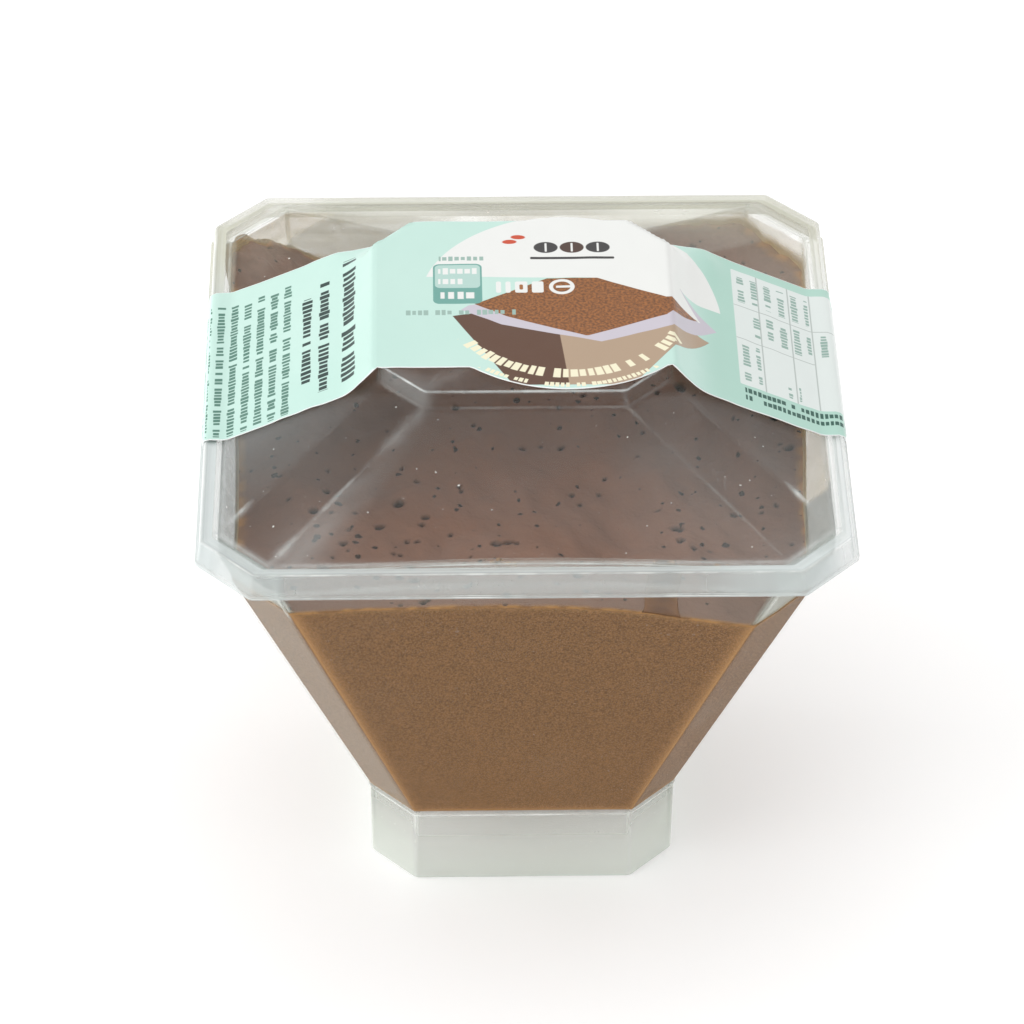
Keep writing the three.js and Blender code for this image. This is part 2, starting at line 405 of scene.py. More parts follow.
def shader_group(name, inputs, outputs, build):
    """A shader node group; build(nodes, inputs) returns the outputs in order. Made once, then reused."""
    if name in bpy.data.node_groups:
        return bpy.data.node_groups[name]
    tree = bpy.data.node_groups.new(name, "ShaderNodeTree")
    for label, (kind, default) in inputs.items():
        socket = tree.interface.new_socket(label, in_out="INPUT", socket_type=SOCKETS[kind])
        if default is not None:
            socket.default_value = default
    for label, kind in outputs.items():
        tree.interface.new_socket(label, in_out="OUTPUT", socket_type=SOCKETS[kind])
    nodes = Nodes(tree)
    entry = nodes.add("NodeGroupInput")
    results = build(nodes, entry.outputs)
    leave = nodes.add("NodeGroupOutput")
    for result, socket in zip(results, leave.inputs):
        tree.links.new(result, socket)
    return tree


def new_material(name):
    """An empty node material with its Principled shader and output."""
    material = bpy.data.materials.new(name)
    material.use_nodes = True
    material.node_tree.nodes.clear()
    nodes = Nodes(material.node_tree)
    shader = nodes.add("ShaderNodeBsdfPrincipled")
    output = nodes.add("ShaderNodeOutputMaterial", {"Surface": shader.outputs[0]})
    shader.location, output.location = (4200, 0), (4500, 0)
    return material, nodes, shader


def wire(shader, inputs):
    """Sets a shader's inputs, by a link or by a value."""
    for key, value in inputs.items():
        if isinstance(value, bpy.types.NodeSocket):
            shader.id_data.links.new(value, shader.inputs[key])
        else:
            shader.inputs[key].default_value = value


def place_of(nodes):
    """Object coordinates."""
    return nodes.add("ShaderNodeTexCoord").outputs["Object"]


# ---- Shared effects -----------------------------------------------------------------------

def thin_plastic_group():
    """Clear plastic without bending of light: how much of it shows, by angle, haze and painted highlights on
    its edges.
    """
    def build(nodes, sockets):
        facing = sockets["Facing"]
        upright = nodes.math("MAXIMUM", nodes.minus(1.0, facing), 0.1)
        grazing = nodes.math("POWER", facing, 5.0)
        mirror = nodes.span(grazing, 0.0, 1.0, sockets["Mirror"], sockets["Grazing"])
        clear = nodes.minus(1.0, nodes.math("MINIMUM", sockets["Haze"], 0.97))
        through = nodes.math("POWER", clear, nodes.math("DIVIDE", 1.0, upright))
        milk = nodes.minus(1.0, through)
        milk = nodes.math("MAXIMUM", milk, nodes.math("MINIMUM", sockets["Glow"], 1.0))
        left = nodes.times(nodes.minus(1.0, milk), nodes.minus(1.0, mirror))
        alpha = nodes.minus(1.0, left)
        metal = nodes.math("DIVIDE", mirror, nodes.math("MAXIMUM", alpha, 0.001), clamp=True)
        tint = nodes.blend(sockets["Glow"], sockets["Tint"], sockets["Edge Tint"])
        return tint, alpha, metal
    inputs = {
        "Facing": ("value", 0.0), "Mirror": ("value", 0.035), "Grazing": ("value", 0.8),
        "Haze": ("value", 0.03), "Glow": ("value", 0.0), "Tint": ("colour", None),
        "Edge Tint": ("colour", None),
    }
    outputs = {"Colour": "colour", "Alpha": "value", "Metallic": "value"}
    return shader_group("Thin Plastic", inputs, outputs, build)


def scuffs_group():
    """Handling marks: soft smudges, fine scratches and the roughness that goes with them."""
    def build(nodes, sockets):
        place = sockets["Place"]
        smudge = nodes.noise(place, 60.0, 3.0)
        smudge = nodes.span(smudge, 0.5, 0.78, 0.0, 1.0, smooth_steps=True)
        bent = nodes.noise(place, 90.0, 2.0)
        streak_place = nodes.add("ShaderNodeMapping", {
            "Vector": place, "Rotation": (0.3, 0.5, 0.9), "Scale": (1.0, 0.07, 1.0)}).outputs[0]
        lines = nodes.noise(streak_place, 2600.0, 1.0)
        lines = nodes.span(lines, 0.7, 0.78)
        lines = nodes.times(lines, nodes.span(bent, 0.52, 0.66))
        marks = nodes.plus(nodes.times(smudge, sockets["Smudges"]),
                           nodes.times(lines, sockets["Scratches"]))
        rough = nodes.span(smudge, 0.0, 1.0, sockets["Rough Low"], sockets["Rough High"])
        height = nodes.noise(place, 140.0, 2.0)
        return marks, rough, height
    inputs = {
        "Place": ("vector", None), "Smudges": ("value", 0.03), "Scratches": ("value", 0.1),
        "Rough Low": ("value", 0.04), "Rough High": ("value", 0.14),
    }
    outputs = {"Marks": "value", "Roughness": "value", "Height": "value"}
    return shader_group("Scuffs", inputs, outputs, build)


def froth_group():
    """Whipped texture: fine bubbles, a speckle of darker and lighter grains, and soft patches."""
    def build(nodes, sockets):
        place = sockets["Place"]
        cells = nodes.add("ShaderNodeTexVoronoi", {"Vector": place, "Scale": 1500.0, "Randomness": 1.0})
        bubbles = nodes.span(cells.outputs["Distance"], 0.1, 0.55)
        grain = nodes.noise(place, 3500.0, 2.0, 0.65)
        patches = nodes.noise(place, 120.0, 3.0)
        wobble = nodes.add("ShaderNodeTexNoise", {"Vector": place, "Scale": 1400.0, "Detail": 1.0})
        wobble = nodes.add("ShaderNodeVectorMath", {
            0: wobble.outputs["Color"], 1: (0.7 * MM, 0.7 * MM, 0.0), 2: place},
            operation="MULTIPLY_ADD").outputs[0]
        holes = nodes.add("ShaderNodeTexVoronoi", {"Vector": wobble, "Scale": 360.0, "Randomness": 1.0},
                          voronoi_dimensions="2D")
        chance = nodes.add("ShaderNodeSeparateColor", {"Color": holes.outputs["Color"]}).outputs[0]
        size = nodes.span(chance, 0.35, 1.0, 0.02, 0.21)
        size = nodes.times(size, nodes.span(patches, 0.4, 0.62, 0.3, 1.0))
        pits = nodes.minus(size, holes.outputs["Distance"])
        pits = nodes.span(pits, 0.0, 0.03)
        height = nodes.plus(nodes.times(bubbles, 0.45), nodes.times(grain, 0.6))
        height = nodes.minus(height, nodes.times(pits, 2.0))
        return grain, patches, pits, height
    outputs = {"Grain": "value", "Patches": "value", "Pits": "value", "Height": "value"}
    return shader_group("Froth", {"Place": ("vector", None)}, outputs, build)


# ---- Materials ----------------------------------------------------------------------------

def plastic_material(name, tint, far_tint, edge_tint, film, smudges, mirror, grazing):
    """Clear moulded plastic that reads the wall's own haze and its glow, a painted highlight on the edges."""
    material, nodes, shader = new_material(name)
    place = place_of(nodes)
    scuffs = nodes.group(scuffs_group(), Place=place, Smudges=smudges)
    facing = nodes.add("ShaderNodeLayerWeight", {"Blend": 0.5}).outputs["Facing"]
    haze = nodes.plus(nodes.plus(nodes.attribute("haze"), film), scuffs["Marks"])
    broken = nodes.span(nodes.noise(place, 110.0, 3.0, 0.7), 0.38, 0.62, 0.45, 1.1)
    glow = nodes.times(nodes.attribute("glow"), broken)
    depth = nodes.axes(place)[1]
    milk = nodes.blend(nodes.span(depth, 8 * MM, 30 * MM), rgba(tint), rgba(far_tint))
    sheet = nodes.group(
        thin_plastic_group(), Facing=facing, Mirror=mirror, Grazing=grazing, Haze=haze, Glow=glow,
        Tint=milk, Edge_Tint=rgba(edge_tint))
    bump = nodes.bump(0.25, 0.04 * MM, scuffs["Height"])
    wire(shader, {"Base Color": sheet["Colour"], "Alpha": sheet["Alpha"], "Metallic": sheet["Metallic"],
                  "Roughness": scuffs["Roughness"], "Normal": bump, "Specular IOR Level": 0.25})
    return material


def mousse_material(name, side, top, pit, fringe):
    """Chocolate mousse: smooth and lighter against the wall, darker and pitted on its open top, with painted
    shade inside the pits.
    """
    material, nodes, shader = new_material(name)
    place = place_of(nodes)
    froth = nodes.group(froth_group(), Place=place)
    on_top = nodes.attribute("top")
    grain = nodes.span(froth["Grain"], 0.39, 0.61)
    patches = nodes.span(froth["Patches"], 0.3, 0.7)
    dark_side = rgba(side, 0.68)
    pale_side = rgba(side, 1.38, 1.35, 1.24)
    side_colour = nodes.blend(grain, pale_side, dark_side)
    low_down = nodes.axes(place)[2]
    lighter = rgba(side, 1.45)
    side_colour = nodes.blend(nodes.span(low_down, 12 * MM, 40 * MM, 0.3, 0.0), side_colour, lighter)
    warm = rgba(top, 1.05, 0.98, 0.9)
    cool = rgba(top, 0.72, 0.8, 0.86)
    away = nodes.add("ShaderNodeVectorMath", {0: place, 1: (0.002, -0.014, 0.064)},
                     operation="DISTANCE").outputs["Value"]
    heart = nodes.span(away, 8 * MM, 36 * MM, 0.6, 0.0, smooth_steps=True)
    top_colour = nodes.blend(nodes.plus(heart, nodes.times(patches, 0.4)), cool, warm)
    top_colour = nodes.blend(nodes.times(grain, 0.6), top_colour, cool)
    # Painted shade: inside the open bubbles the colour is drawn towards the dark pit colour
    holes = nodes.math("MAXIMUM", nodes.attribute("pit"), nodes.times(froth["Pits"], on_top))
    both = nodes.blend(on_top, side_colour, top_colour)
    both = nodes.blend(nodes.attribute("fringe"), both, fringe)
    both = nodes.blend(nodes.times(holes, 0.92), both, pit)
    strength = nodes.span(on_top, 0.0, 1.0, 0.12, 0.45)
    height = nodes.times(froth["Height"], strength)
    bump = nodes.bump(0.7, 0.16 * MM, height)
    rough = nodes.span(froth["Grain"], 0.3, 0.75, 0.42, 0.68)
    rough = nodes.minus(rough, nodes.times(holes, 0.22))
    wire(shader, {"Base Color": both, "Roughness": rough, "Normal": bump, "Specular IOR Level": 0.15})
    return material


# ---- Label print --------------------------------------------------------------------------
# The print is drawn in millimetres on the label's own flat map: x along the band, y across it.

def panel_mask_group():
    """A rounded rectangle."""
    def build(nodes, sockets):
        axes = nodes.axes(sockets["Place"])
        radius = sockets["Round"]
        reach = []
        for axis, centre, half in ((0, "Centre X", "Half Width"), (1, "Centre Y", "Half Height")):
            away = nodes.math("ABSOLUTE", nodes.minus(axes[axis], sockets[centre]))
            reach.append(nodes.plus(nodes.minus(away, sockets[half]), radius))
        outer = [nodes.math("MAXIMUM", value, 0.0) for value in reach]
        squares = [nodes.times(value, value) for value in outer]
        far = nodes.math("SQRT", nodes.plus(*squares))
        near = nodes.math("MINIMUM", nodes.math("MAXIMUM", *reach), 0.0)
        edge = nodes.minus(nodes.plus(far, near), radius)
        return (nodes.span(edge, 0.04, -0.04),)
    inputs = {
        "Place": ("vector", None), "Centre X": ("value", 0.0), "Centre Y": ("value", 0.0),
        "Half Width": ("value", 1.0), "Half Height": ("value", 1.0), "Round": ("value", 0.2),
    }
    return shader_group("Panel Mask", inputs, {"Mask": "value"}, build)


def disc_mask_group():
    """A filled circle."""
    def build(nodes, sockets):
        axes = nodes.axes(sockets["Place"])
        dx = nodes.minus(axes[0], sockets["Centre X"])
        dy = nodes.minus(axes[1], sockets["Centre Y"])
        square = nodes.plus(nodes.times(dx, dx), nodes.times(dy, dy))
        edge = nodes.minus(nodes.math("SQRT", square), sockets["Radius"])
        return (nodes.span(edge, 0.05, -0.05),)
    inputs = {
        "Place": ("vector", None), "Centre X": ("value", 0.0), "Centre Y": ("value", 0.0),
        "Radius": ("value", 1.0),
    }
    return shader_group("Disc Mask", inputs, {"Mask": "value"}, build)


def side_mask_group():
    """Everything on one side of a straight edge, given by its angle and distance from the centre."""
    def build(nodes, sockets):
        axes = nodes.axes(sockets["Place"])
        turn = sockets["Angle"]
        across = nodes.plus(nodes.times(axes[0], nodes.math("COSINE", turn)),
                            nodes.times(axes[1], nodes.math("SINE", turn)))
        return (nodes.span(nodes.minus(across, sockets["Offset"]), -0.05, 0.05),)
    inputs = {"Place": ("vector", None), "Angle": ("value", 0.0), "Offset": ("value", 0.0)}
    return shader_group("Side Mask", inputs, {"Mask": "value"}, build)


def print_blocks_group():
    """Rows of small plain blocks, where a pack has its small print."""
    def build(nodes, sockets):
        row = nodes.math("ROUND", nodes.math("DIVIDE", sockets["Across"], sockets["Pitch"]))
        local = nodes.minus(sockets["Across"], nodes.times(row, sockets["Pitch"]))
        start = nodes.times(nodes.math("SINE", nodes.times(row, 37.7)), 2.3)
        along = nodes.math("DIVIDE", nodes.plus(sockets["Along"], start), sockets["Cell"])
        cell = nodes.math("FLOOR", along)
        inside = nodes.minus(along, cell)
        key = nodes.add("ShaderNodeCombineXYZ", {0: cell, 1: nodes.plus(row, sockets["Seed"])})
        random = nodes.add("ShaderNodeTexWhiteNoise", {"Vector": key.outputs[0]}, noise_dimensions="2D")
        word = nodes.math("GREATER_THAN", random.outputs["Value"], 0.17)
        parts = nodes.add("ShaderNodeSeparateColor", {"Color": random.outputs["Color"]}).outputs
        tall = nodes.times(sockets["Height"], nodes.span(parts[1], 0.0, 1.0, 0.34, 0.5))
        width = nodes.span(parts[2], 0.0, 1.0, 0.3, 0.44)
        sideways = nodes.math("ABSOLUTE", nodes.minus(inside, 0.5))
        block = nodes.span(nodes.minus(sideways, width), 0.05, -0.05)
        upright = nodes.span(nodes.minus(nodes.math("ABSOLUTE", local), tall), 0.05, -0.05)
        return (nodes.times(nodes.times(block, upright), word),)
    inputs = {
        "Along": ("value", None), "Across": ("value", None), "Cell": ("value", 0.8),
        "Pitch": ("value", 1.9), "Height": ("value", 1.1), "Seed": ("value", 0.0),
    }
    return shader_group("Print Blocks", inputs, {"Mask": "value"}, build)


class Print:
    """Lays fields of colour over each other on the label's flat map, in millimetres."""

    def __init__(self, nodes, ground):
        self.nodes = nodes
        flat = nodes.add("ShaderNodeUVMap", uv_map="print").outputs[0]
        self.place = nodes.add("ShaderNodeMapping", {
            "Vector": flat, "Location": (-50.0, -50.0, 0.0), "Scale": (100.0, 100.0, 1.0)}).outputs[0]
        axes = nodes.axes(self.place)
        self.x, self.y = axes[0], axes[1]
        self.shown = ground

    def panel(self, left, right, low, high, corner=0.25):
        return self.nodes.group(
            panel_mask_group(), Place=self.place, Centre_X=(left + right) / 2, Centre_Y=(low + high) / 2,
            Half_Width=(right - left) / 2, Half_Height=(high - low) / 2, Round=corner)[0]

    def disc(self, x, y, radius):
        return self.nodes.group(disc_mask_group(), Place=self.place, Centre_X=x, Centre_Y=y, Radius=radius)[0]

    def beside(self, start, end):
        """The left-hand side of the line from start to end."""
        dx, dy = end[0] - start[0], end[1] - start[1]
        angle = math.atan2(dx, -dy)
        offset = start[0] * math.cos(angle) + start[1] * math.sin(angle)
        return self.nodes.group(side_mask_group(), Place=self.place, Angle=angle, Offset=offset)[0]

    def shape(self, corners):
        """A filled outline that bulges everywhere, corners counter-clockwise."""
        return self.all(*(self.beside(a, b) for a, b in zip(corners, corners[1:] + corners[:1])))

    def all(self, *masks):
        result = masks[0]
        for mask in masks[1:]:
            result = self.nodes.times(result, mask)
        return result

    def either(self, a, b):
        return self.nodes.math("MAXIMUM", a, b)

    def without(self, a, b):
        return self.nodes.times(a, self.nodes.minus(1.0, b))

    def blocks(self, along, across, first_row, cell, pitch, height, seed):
        """Rows of blocks; across is measured from the middle of the first row."""
        from_first = self.nodes.minus(across, first_row)
        return self.nodes.group(
            print_blocks_group(), Along=along, Across=from_first, Cell=cell, Pitch=pitch,
            Height=height, Seed=seed)[0]

    def lay(self, mask, ink):
        self.shown = self.nodes.blend(mask, self.shown, ink)

    def rows(self, ink, field, *layout):
        """Rows of blocks inside a field."""
        self.lay(self.all(field, self.blocks(*layout)), ink)


def print_left_wing(art, ink, small_ink):
    """Three heading rows and the small rows beside them."""
    for row, height, cell, low, high, seed in (
            (-23.8, 2.0, 1.15, -11.4, 16.4, 1.0),
            (-27.2, 1.55, 0.95, -11.6, 15.2, 4.0),
            (-29.6, 1.45, 0.95, -8.6, 10.8, 9.0)):
        field = art.panel(row - height, row + height, low, high)
        art.rows(ink, field, art.y, art.x, row, cell, 9.0, height, seed)
    field = art.panel(-43.3, -31.6, -14.0, 15.9)
    art.rows(small_ink, field, art.y, art.x, -32.4, 0.72, 1.87, 1.15, 12.0)
    field = art.panel(-45.2, -43.4, -13.6, 15.0)
    art.rows(small_ink, field, art.y, art.x, -44.1, 0.6, 1.87, 0.9, 15.0)


def print_right_wing(art, ink, table_ink, table_line, table_ground):
    """A table with thin lines and two rows of small print in front of it."""
    table = art.panel(29.4, 60.0, -9.2, 17.4)
    art.lay(table, table_ground)
    for x in (33.0, 37.4, 40.5):
        art.lay(art.all(table, art.panel(x - 0.09, x + 0.09, -20.0, 20.0, 0.02)), table_line)
    for y, end in ((9.0, 60.0), (1.3, 40.5)):
        art.lay(art.all(table, art.panel(29.4, end, y - 0.08, y + 0.08, 0.02)), table_line)
    rows = art.blocks(art.y, art.x, 30.6, 0.68, 1.9, 1.05, 21.0)
    field = art.either(art.panel(29.8, 40.2, 10.0, 16.0), art.panel(31.5, 40.2, 2.4, 8.2))
    field = art.either(field, art.panel(29.8, 32.6, -8.0, 0.4))
    art.lay(art.all(field, rows), table_ink)
    field = art.either(art.panel(36.2, 38.0, -8.6, -5.2), art.panel(41.1, 42.9, 3.0, 8.0))
    art.lay(art.all(field, rows), table_ink)
    field = art.panel(30.0, 46.5, -12.7, -9.5)
    art.rows(ink, field, art.x, art.y, -10.35, 0.66, 1.62, 1.15, 27.0)


def print_badge(art, inks):
    """White field over a plain picture of a full pot, and a small facts box."""
    nodes = art.nodes
    round_left = art.disc(6.0, 0.3, 20.0)
    round_right = art.all(art.disc(5.5, 4.0, 21.9), art.beside((6.0, 20.0), (6.0, -20.0)))
    upper = art.beside((-20.0, 6.3), (30.0, 5.2))
    white = art.all(art.either(round_left, round_right), upper)
    art.lay(white, inks["white"])

    mouth = [(-7.6, -0.9), (-2.2, -3.2), (4.6, -7.7), (8.7, -7.7), (19.6, -2.9), (19.6, 1.1),
             (10.3, 5.6), (3.4, 5.6)]
    rim = [(-9.9, -2.9), (-3.0, -5.0), (4.5, -9.7), (8.8, -9.7), (20.2, -5.4), (26.6, 0.6),
           (21.8, 5.6), (-7.4, -0.6)]
    body = [(-9.6, -3.0), (-1.6, -18.6), (14.4, -18.6), (25.4, -2.5), (20.0, -1.0), (0.0, -1.0)]
    disc = art.disc(6.0, 0.3, 20.0)
    front = art.all(disc, art.shape(body))
    art.lay(front, inks["pot_front"])
    art.lay(art.all(front, art.beside((4.2, 0.0), (6.0, -20.0))), inks["pot_side"])
    wide = art.beside((28.0, 5.7), (-20.0, 5.7))
    art.lay(art.all(wide, art.shape(rim)), inks["pot_rim"])
    art.lay(art.shape([(9.5, 5.4), (19.6, 0.9), (24.4, 1.3), (21.5, 5.8), (9.5, 6.2)]), inks["white"])
    mouth_mask = art.either(art.shape(mouth), art.shape([(19.5, -2.9), (24.0, 1.4), (19.5, 1.1)]))
    speckle = nodes.noise(art.place, 2.6, 2.0)
    filling = nodes.blend(nodes.span(speckle, 0.35, 0.65), inks["filling"], inks["filling_light"])
    art.lay(mouth_mask, filling)

    # A curved row of blocks along the badge's lower edge, and a small one below it.
    dx, dy = nodes.minus(art.x, 6.0), nodes.minus(art.y, 0.3)
    far = nodes.math("SQRT", nodes.plus(nodes.times(dx, dx), nodes.times(dy, dy)))
    turn = nodes.times(nodes.math("ARCTAN2", dx, nodes.times(dy, -1.0)), 16.6)
    ring = art.without(art.disc(6.0, 0.3, 18.4), art.disc(6.0, 0.3, 14.8))
    wide = art.all(ring, art.beside((24.0, -5.0), (-10.0, -8.4)))
    art.rows(inks["cream"], wide, turn, far, 16.4, 1.15, 9.0, 2.0, 52.0)
    small = art.all(art.disc(6.0, 0.3, 19.6), art.beside((17.0, -14.6), (-4.0, -14.6)))
    art.rows(inks["cream"], small, turn, far, 18.95, 0.62, 9.0, 0.95, 57.0)

    # A plain emblem on the white field: three beans over a bar, with two small leaves.
    for k, x in enumerate((3.4, 7.0, 10.6)):
        squeezed = nodes.add("ShaderNodeMapping", {
            "Vector": art.place, "Location": (-x * 0.78, -12.9, 0.0), "Scale": (0.78, 1.0, 1.0)}).outputs[0]
        bean = nodes.group(disc_mask_group(), Place=squeezed, Radius=1.3)[0]
        art.lay(bean, inks["charcoal"] if k != 1 else inks["bean"])
        art.lay(art.all(bean, art.panel(x - 0.14, x + 0.14, 11.9, 13.9, 0.1)), inks["white"])
    art.lay(art.panel(1.2, 12.8, 10.1, 10.65, 0.2), inks["charcoal"])
    for x, y in ((-1.6, 14.2), (-0.4, 15.3)):
        leaf = nodes.add("ShaderNodeMapping", {
            "Vector": art.place, "Location": (-x * 0.5, -y, 0.0), "Scale": (0.5, 1.0, 1.0)}).outputs[0]
        art.lay(nodes.group(disc_mask_group(), Place=leaf, Radius=0.5)[0], inks["accent"])

    # Facts box.
    art.lay(art.panel(-12.2, -5.5, -0.2, 9.1, 0.9), inks["box_line"])
    art.lay(art.panel(-11.95, -5.75, 3.5, 8.85, 0.7), inks["box_top"])
    art.rows(inks["white"], art.panel(-11.5, -6.2, 3.9, 8.5), art.x, art.y, 7.4, 1.0, 2.4, 1.5, 31.0)
    art.rows(inks["white"], art.panel(-11.2, -6.4, 0.6, 3.0), art.x, art.y, 1.75, 1.3, 9.0, 1.9, 34.0)
    art.rows(inks["grey"], art.panel(-16.0, -1.0, -3.2, -1.4), art.x, art.y, -2.2, 0.8, 9.0, 1.2, 40.0)
    art.rows(inks["grey"], art.panel(-11.4, -5.0, 9.6, 11.2), art.x, art.y, 10.35, 0.85, 9.0, 1.1, 44.0)
    for left, right in ((-3.6, -2.9), (-2.3, -1.6), (-1.0, 0.7), (1.3, 2.9)):
        art.lay(art.panel(left, right, 2.3, 4.9, 0.3), inks["white"])
    art.lay(art.panel(-0.4, 0.1, 3.0, 4.2, 0.2), inks["filling_light"])
    ring = art.without(art.disc(5.4, 3.6, 1.75), art.disc(5.4, 3.6, 1.2))
    art.lay(ring, inks["white"])
    art.lay(art.panel(4.6, 6.8, 3.35, 3.85, 0.1), inks["white"])


def label_material(settings):
    """Printed film: the band's ground colour with plain fields, blocks and a soft gloss, painted light on the
    left tail and painted shade on the right wing.
    """
    material, nodes, shader = new_material("label film")
    ground = rgba(settings.band_colour)
    art = Print(nodes, ground)
    place = place_of(nodes)
    wash = nodes.noise(place, 35.0, 3.0)
    deeper = rgba(ground, 0.9, 0.96, 0.95)
    art.shown = nodes.blend(nodes.span(wash, 0.35, 0.65, 0.0, 0.5), ground, deeper)
    ink = rgba(settings.ink_colour)
    # Painted light: the left tail, which hangs in shade by the skirt, is made lighter; painted shade: the
    # right wing is made darker, away from the key light
    painted_tail_light = nodes.span(art.x, -43.0, -43.6, 0.0, 1.0)
    painted_right_wing_shade = nodes.span(art.x, 22.0, 27.0, 0.0, 0.75, smooth_steps=True)
    art.shown = nodes.blend(painted_tail_light, art.shown, colour(214, 246, 235))
    art.shown = nodes.blend(painted_right_wing_shade, art.shown, colour(166, 204, 190))
    print_left_wing(art, ink, colour(78, 122, 108))
    print_right_wing(art, colour(34, 84, 72), colour(142, 170, 160), colour(176, 184, 180),
                     colour(219, 226, 223))
    print_badge(art, {
        "white": colour(228, 229, 226), "cream": colour(236, 230, 200), "bean": colour(70, 46, 34),
        "filling": colour(104, 60, 20), "filling_light": colour(156, 96, 40),
        "pot_rim": colour(196, 190, 200), "pot_front": colour(88, 56, 36), "pot_side": colour(172, 148, 124),
        "box_line": colour(104, 160, 150), "box_top": colour(176, 206, 198), "grey": colour(150, 178, 168),
        "charcoal": colour(52, 50, 50), "accent": colour(196, 70, 34),
    })
    edge = nodes.attribute("edge")
    shown = nodes.blend(edge, art.shown, colour(250, 252, 251))
    scuffs = nodes.group(scuffs_group(), Place=place, Smudges=1.0, Rough_Low=0.32, Rough_High=0.5)
    crinkle = nodes.noise(place, 160.0, 3.0)
    weave = nodes.noise(place, 5200.0, 1.0)
    height = nodes.plus(crinkle, nodes.times(weave, 0.12))
    bump = nodes.bump(0.35, 0.25 * MM, height)
    wire(shader, {"Base Color": shown, "Roughness": scuffs["Roughness"], "Normal": bump})
    return material


# ---- Settings -----------------------------------------------------------------------------

def length(name, description, value):
    return bpy.props.FloatProperty(name=name, description=description, default=value, unit="LENGTH")


def tone(name, description, value):
    return bpy.props.FloatVectorProperty(
        name=name, description=description, default=value[:3], subtype="COLOR", min=0, max=1)


def share(name, description, value):
    return bpy.props.FloatProperty(name=name, description=description, default=value, min=0, max=1,
                                   subtype="FACTOR")


class PotSettings(bpy.types.PropertyGroup):
    """Sizes and colours of the pot and the lid."""
    cup_wall: length("Pot Wall", "Thickness of the flared wall", 0.64 * MM)
    foot_wall: length("Foot Wall", "Thickness of the hollow foot's wall", 0.8 * MM)
    lid_wall: length("Lid Wall", "Thickness of the lid", 0.45 * MM)
    plastic: tone("Plastic", "Colour of the lid's own haze", colour(206, 213, 212))
    plastic_back: tone("Plastic Back", "Colour of the haze on the lid's back part", colour(206, 206, 190))
    bright_edge: tone("Bright Edge", "Colour of the light caught in the edges", colour(236, 239, 236))
    cup_film: share("Pot Haze", "How much the pot's wall veils what is behind it", 0.004)
    lid_film: share("Lid Haze", "How much the lid veils what is behind it", 0.008)
    skirt_haze: share("Skirt Haze", "Extra haze of the lid's thick skirt and ledge", 0.28)
    foot_haze: share("Foot Haze", "Extra haze of the foot", 0.32)
    inner_haze: share("Inner Haze", "Haze of the wall's inside, above the mousse", 0.03)
    # Painted reflection: extra haze on the front left cut corner stands in for the lit floor reflected there
    corner_painted_reflection: share("Corner Reflection", "Painted reflection on the front left cut corner", 0.032)
    pot_milk: tone("Pot Milk", "Colour of the pot's own haze", colour(223, 229, 220))


class MousseSettings(bpy.types.PropertyGroup):
    """Level, relief and colours of the mousse."""
    level: length("Level", "Height of the top in the middle", 64.3 * MM)
    climb: length("Climb", "How far it clings up the back left corner", 4.3 * MM)
    pits: bpy.props.IntProperty(name="Pits", description="Number of open bubbles in the top", default=120)
    side: tone("Side", "Colour against the wall", colour(112, 79, 45))
    top: tone("Top", "Colour of the open top", colour(149, 111, 92))
    # Painted shade: the dark colour laid inside the open bubbles
    pit: tone("Pit", "Colour inside the open bubbles", colour(50, 36, 30))
    fringe: tone("Fringe", "Colour of the thin edge against the wall", colour(182, 136, 84))
    grey_film_and_shade: tone("Grey Film", "Grey of the film, painted as shade on the right wall", colour(148, 155, 150))
    # Grey of the wall film: on the shaded front part of the right wall it is painted shade; it also greys the
    # film on the left wall and in the back left corner
    film: tone("Film", "Colour of the thin film left on the wall", colour(222, 202, 142))


class LabelSettings(bpy.types.PropertyGroup):
    """Thickness and colours of the label band."""
    thickness: length("Thickness", "Thickness of the film", 0.12 * MM)
    lift: length("Lift", "Gap between the film and the lid", 0.12 * MM)
    band_colour: tone("Band", "Ground colour of the band", colour(192, 222, 212))
    ink_colour: tone("Ink", "Colour of the heading rows", colour(26, 52, 48))


class StageSettings(bpy.types.PropertyGroup):
    """Camera, floor and lights."""
    camera_place: bpy.props.FloatVectorProperty(
        name="Camera", description="Where the camera stands", unit="LENGTH",
        default=(-12.694 * MM, -539.98 * MM, 479.07 * MM))
    azimuth: bpy.props.FloatProperty(
        name="Azimuth", description="Turn of the view to the right of +Y", subtype="ANGLE",
        default=math.radians(1.2059))
    elevation: bpy.props.FloatProperty(
        name="Elevation", description="How far the view looks down", subtype="ANGLE",
        default=math.radians(38.4719))
    roll: bpy.props.FloatProperty(
        name="Roll", description="Turn of the picture", subtype="ANGLE", default=math.radians(0.2976))
    lens: bpy.props.FloatProperty(name="Lens", description="Focal length in millimetres", default=172.3)
    floor: tone("Floor", "Colour of the floor", colour(252, 252, 252))
    surroundings: bpy.props.FloatProperty(
        name="Surroundings", description="Brightness of the white room", default=0.92)
    key: bpy.props.FloatProperty(name="Key", description="Power of the left softbox", default=12.7)
    top_light: bpy.props.FloatProperty(name="Top", description="Power of the softbox overhead", default=2.0)


# ---- Pot and lid --------------------------------------------------------------------------

def wall_inside(settings, z, distance=0.0):
    """The inner face of the flared wall at height z, set in by a further distance."""
    return inset(level_at(FOOT_TOP, SHOULDER, z), settings.cup_wall + distance)


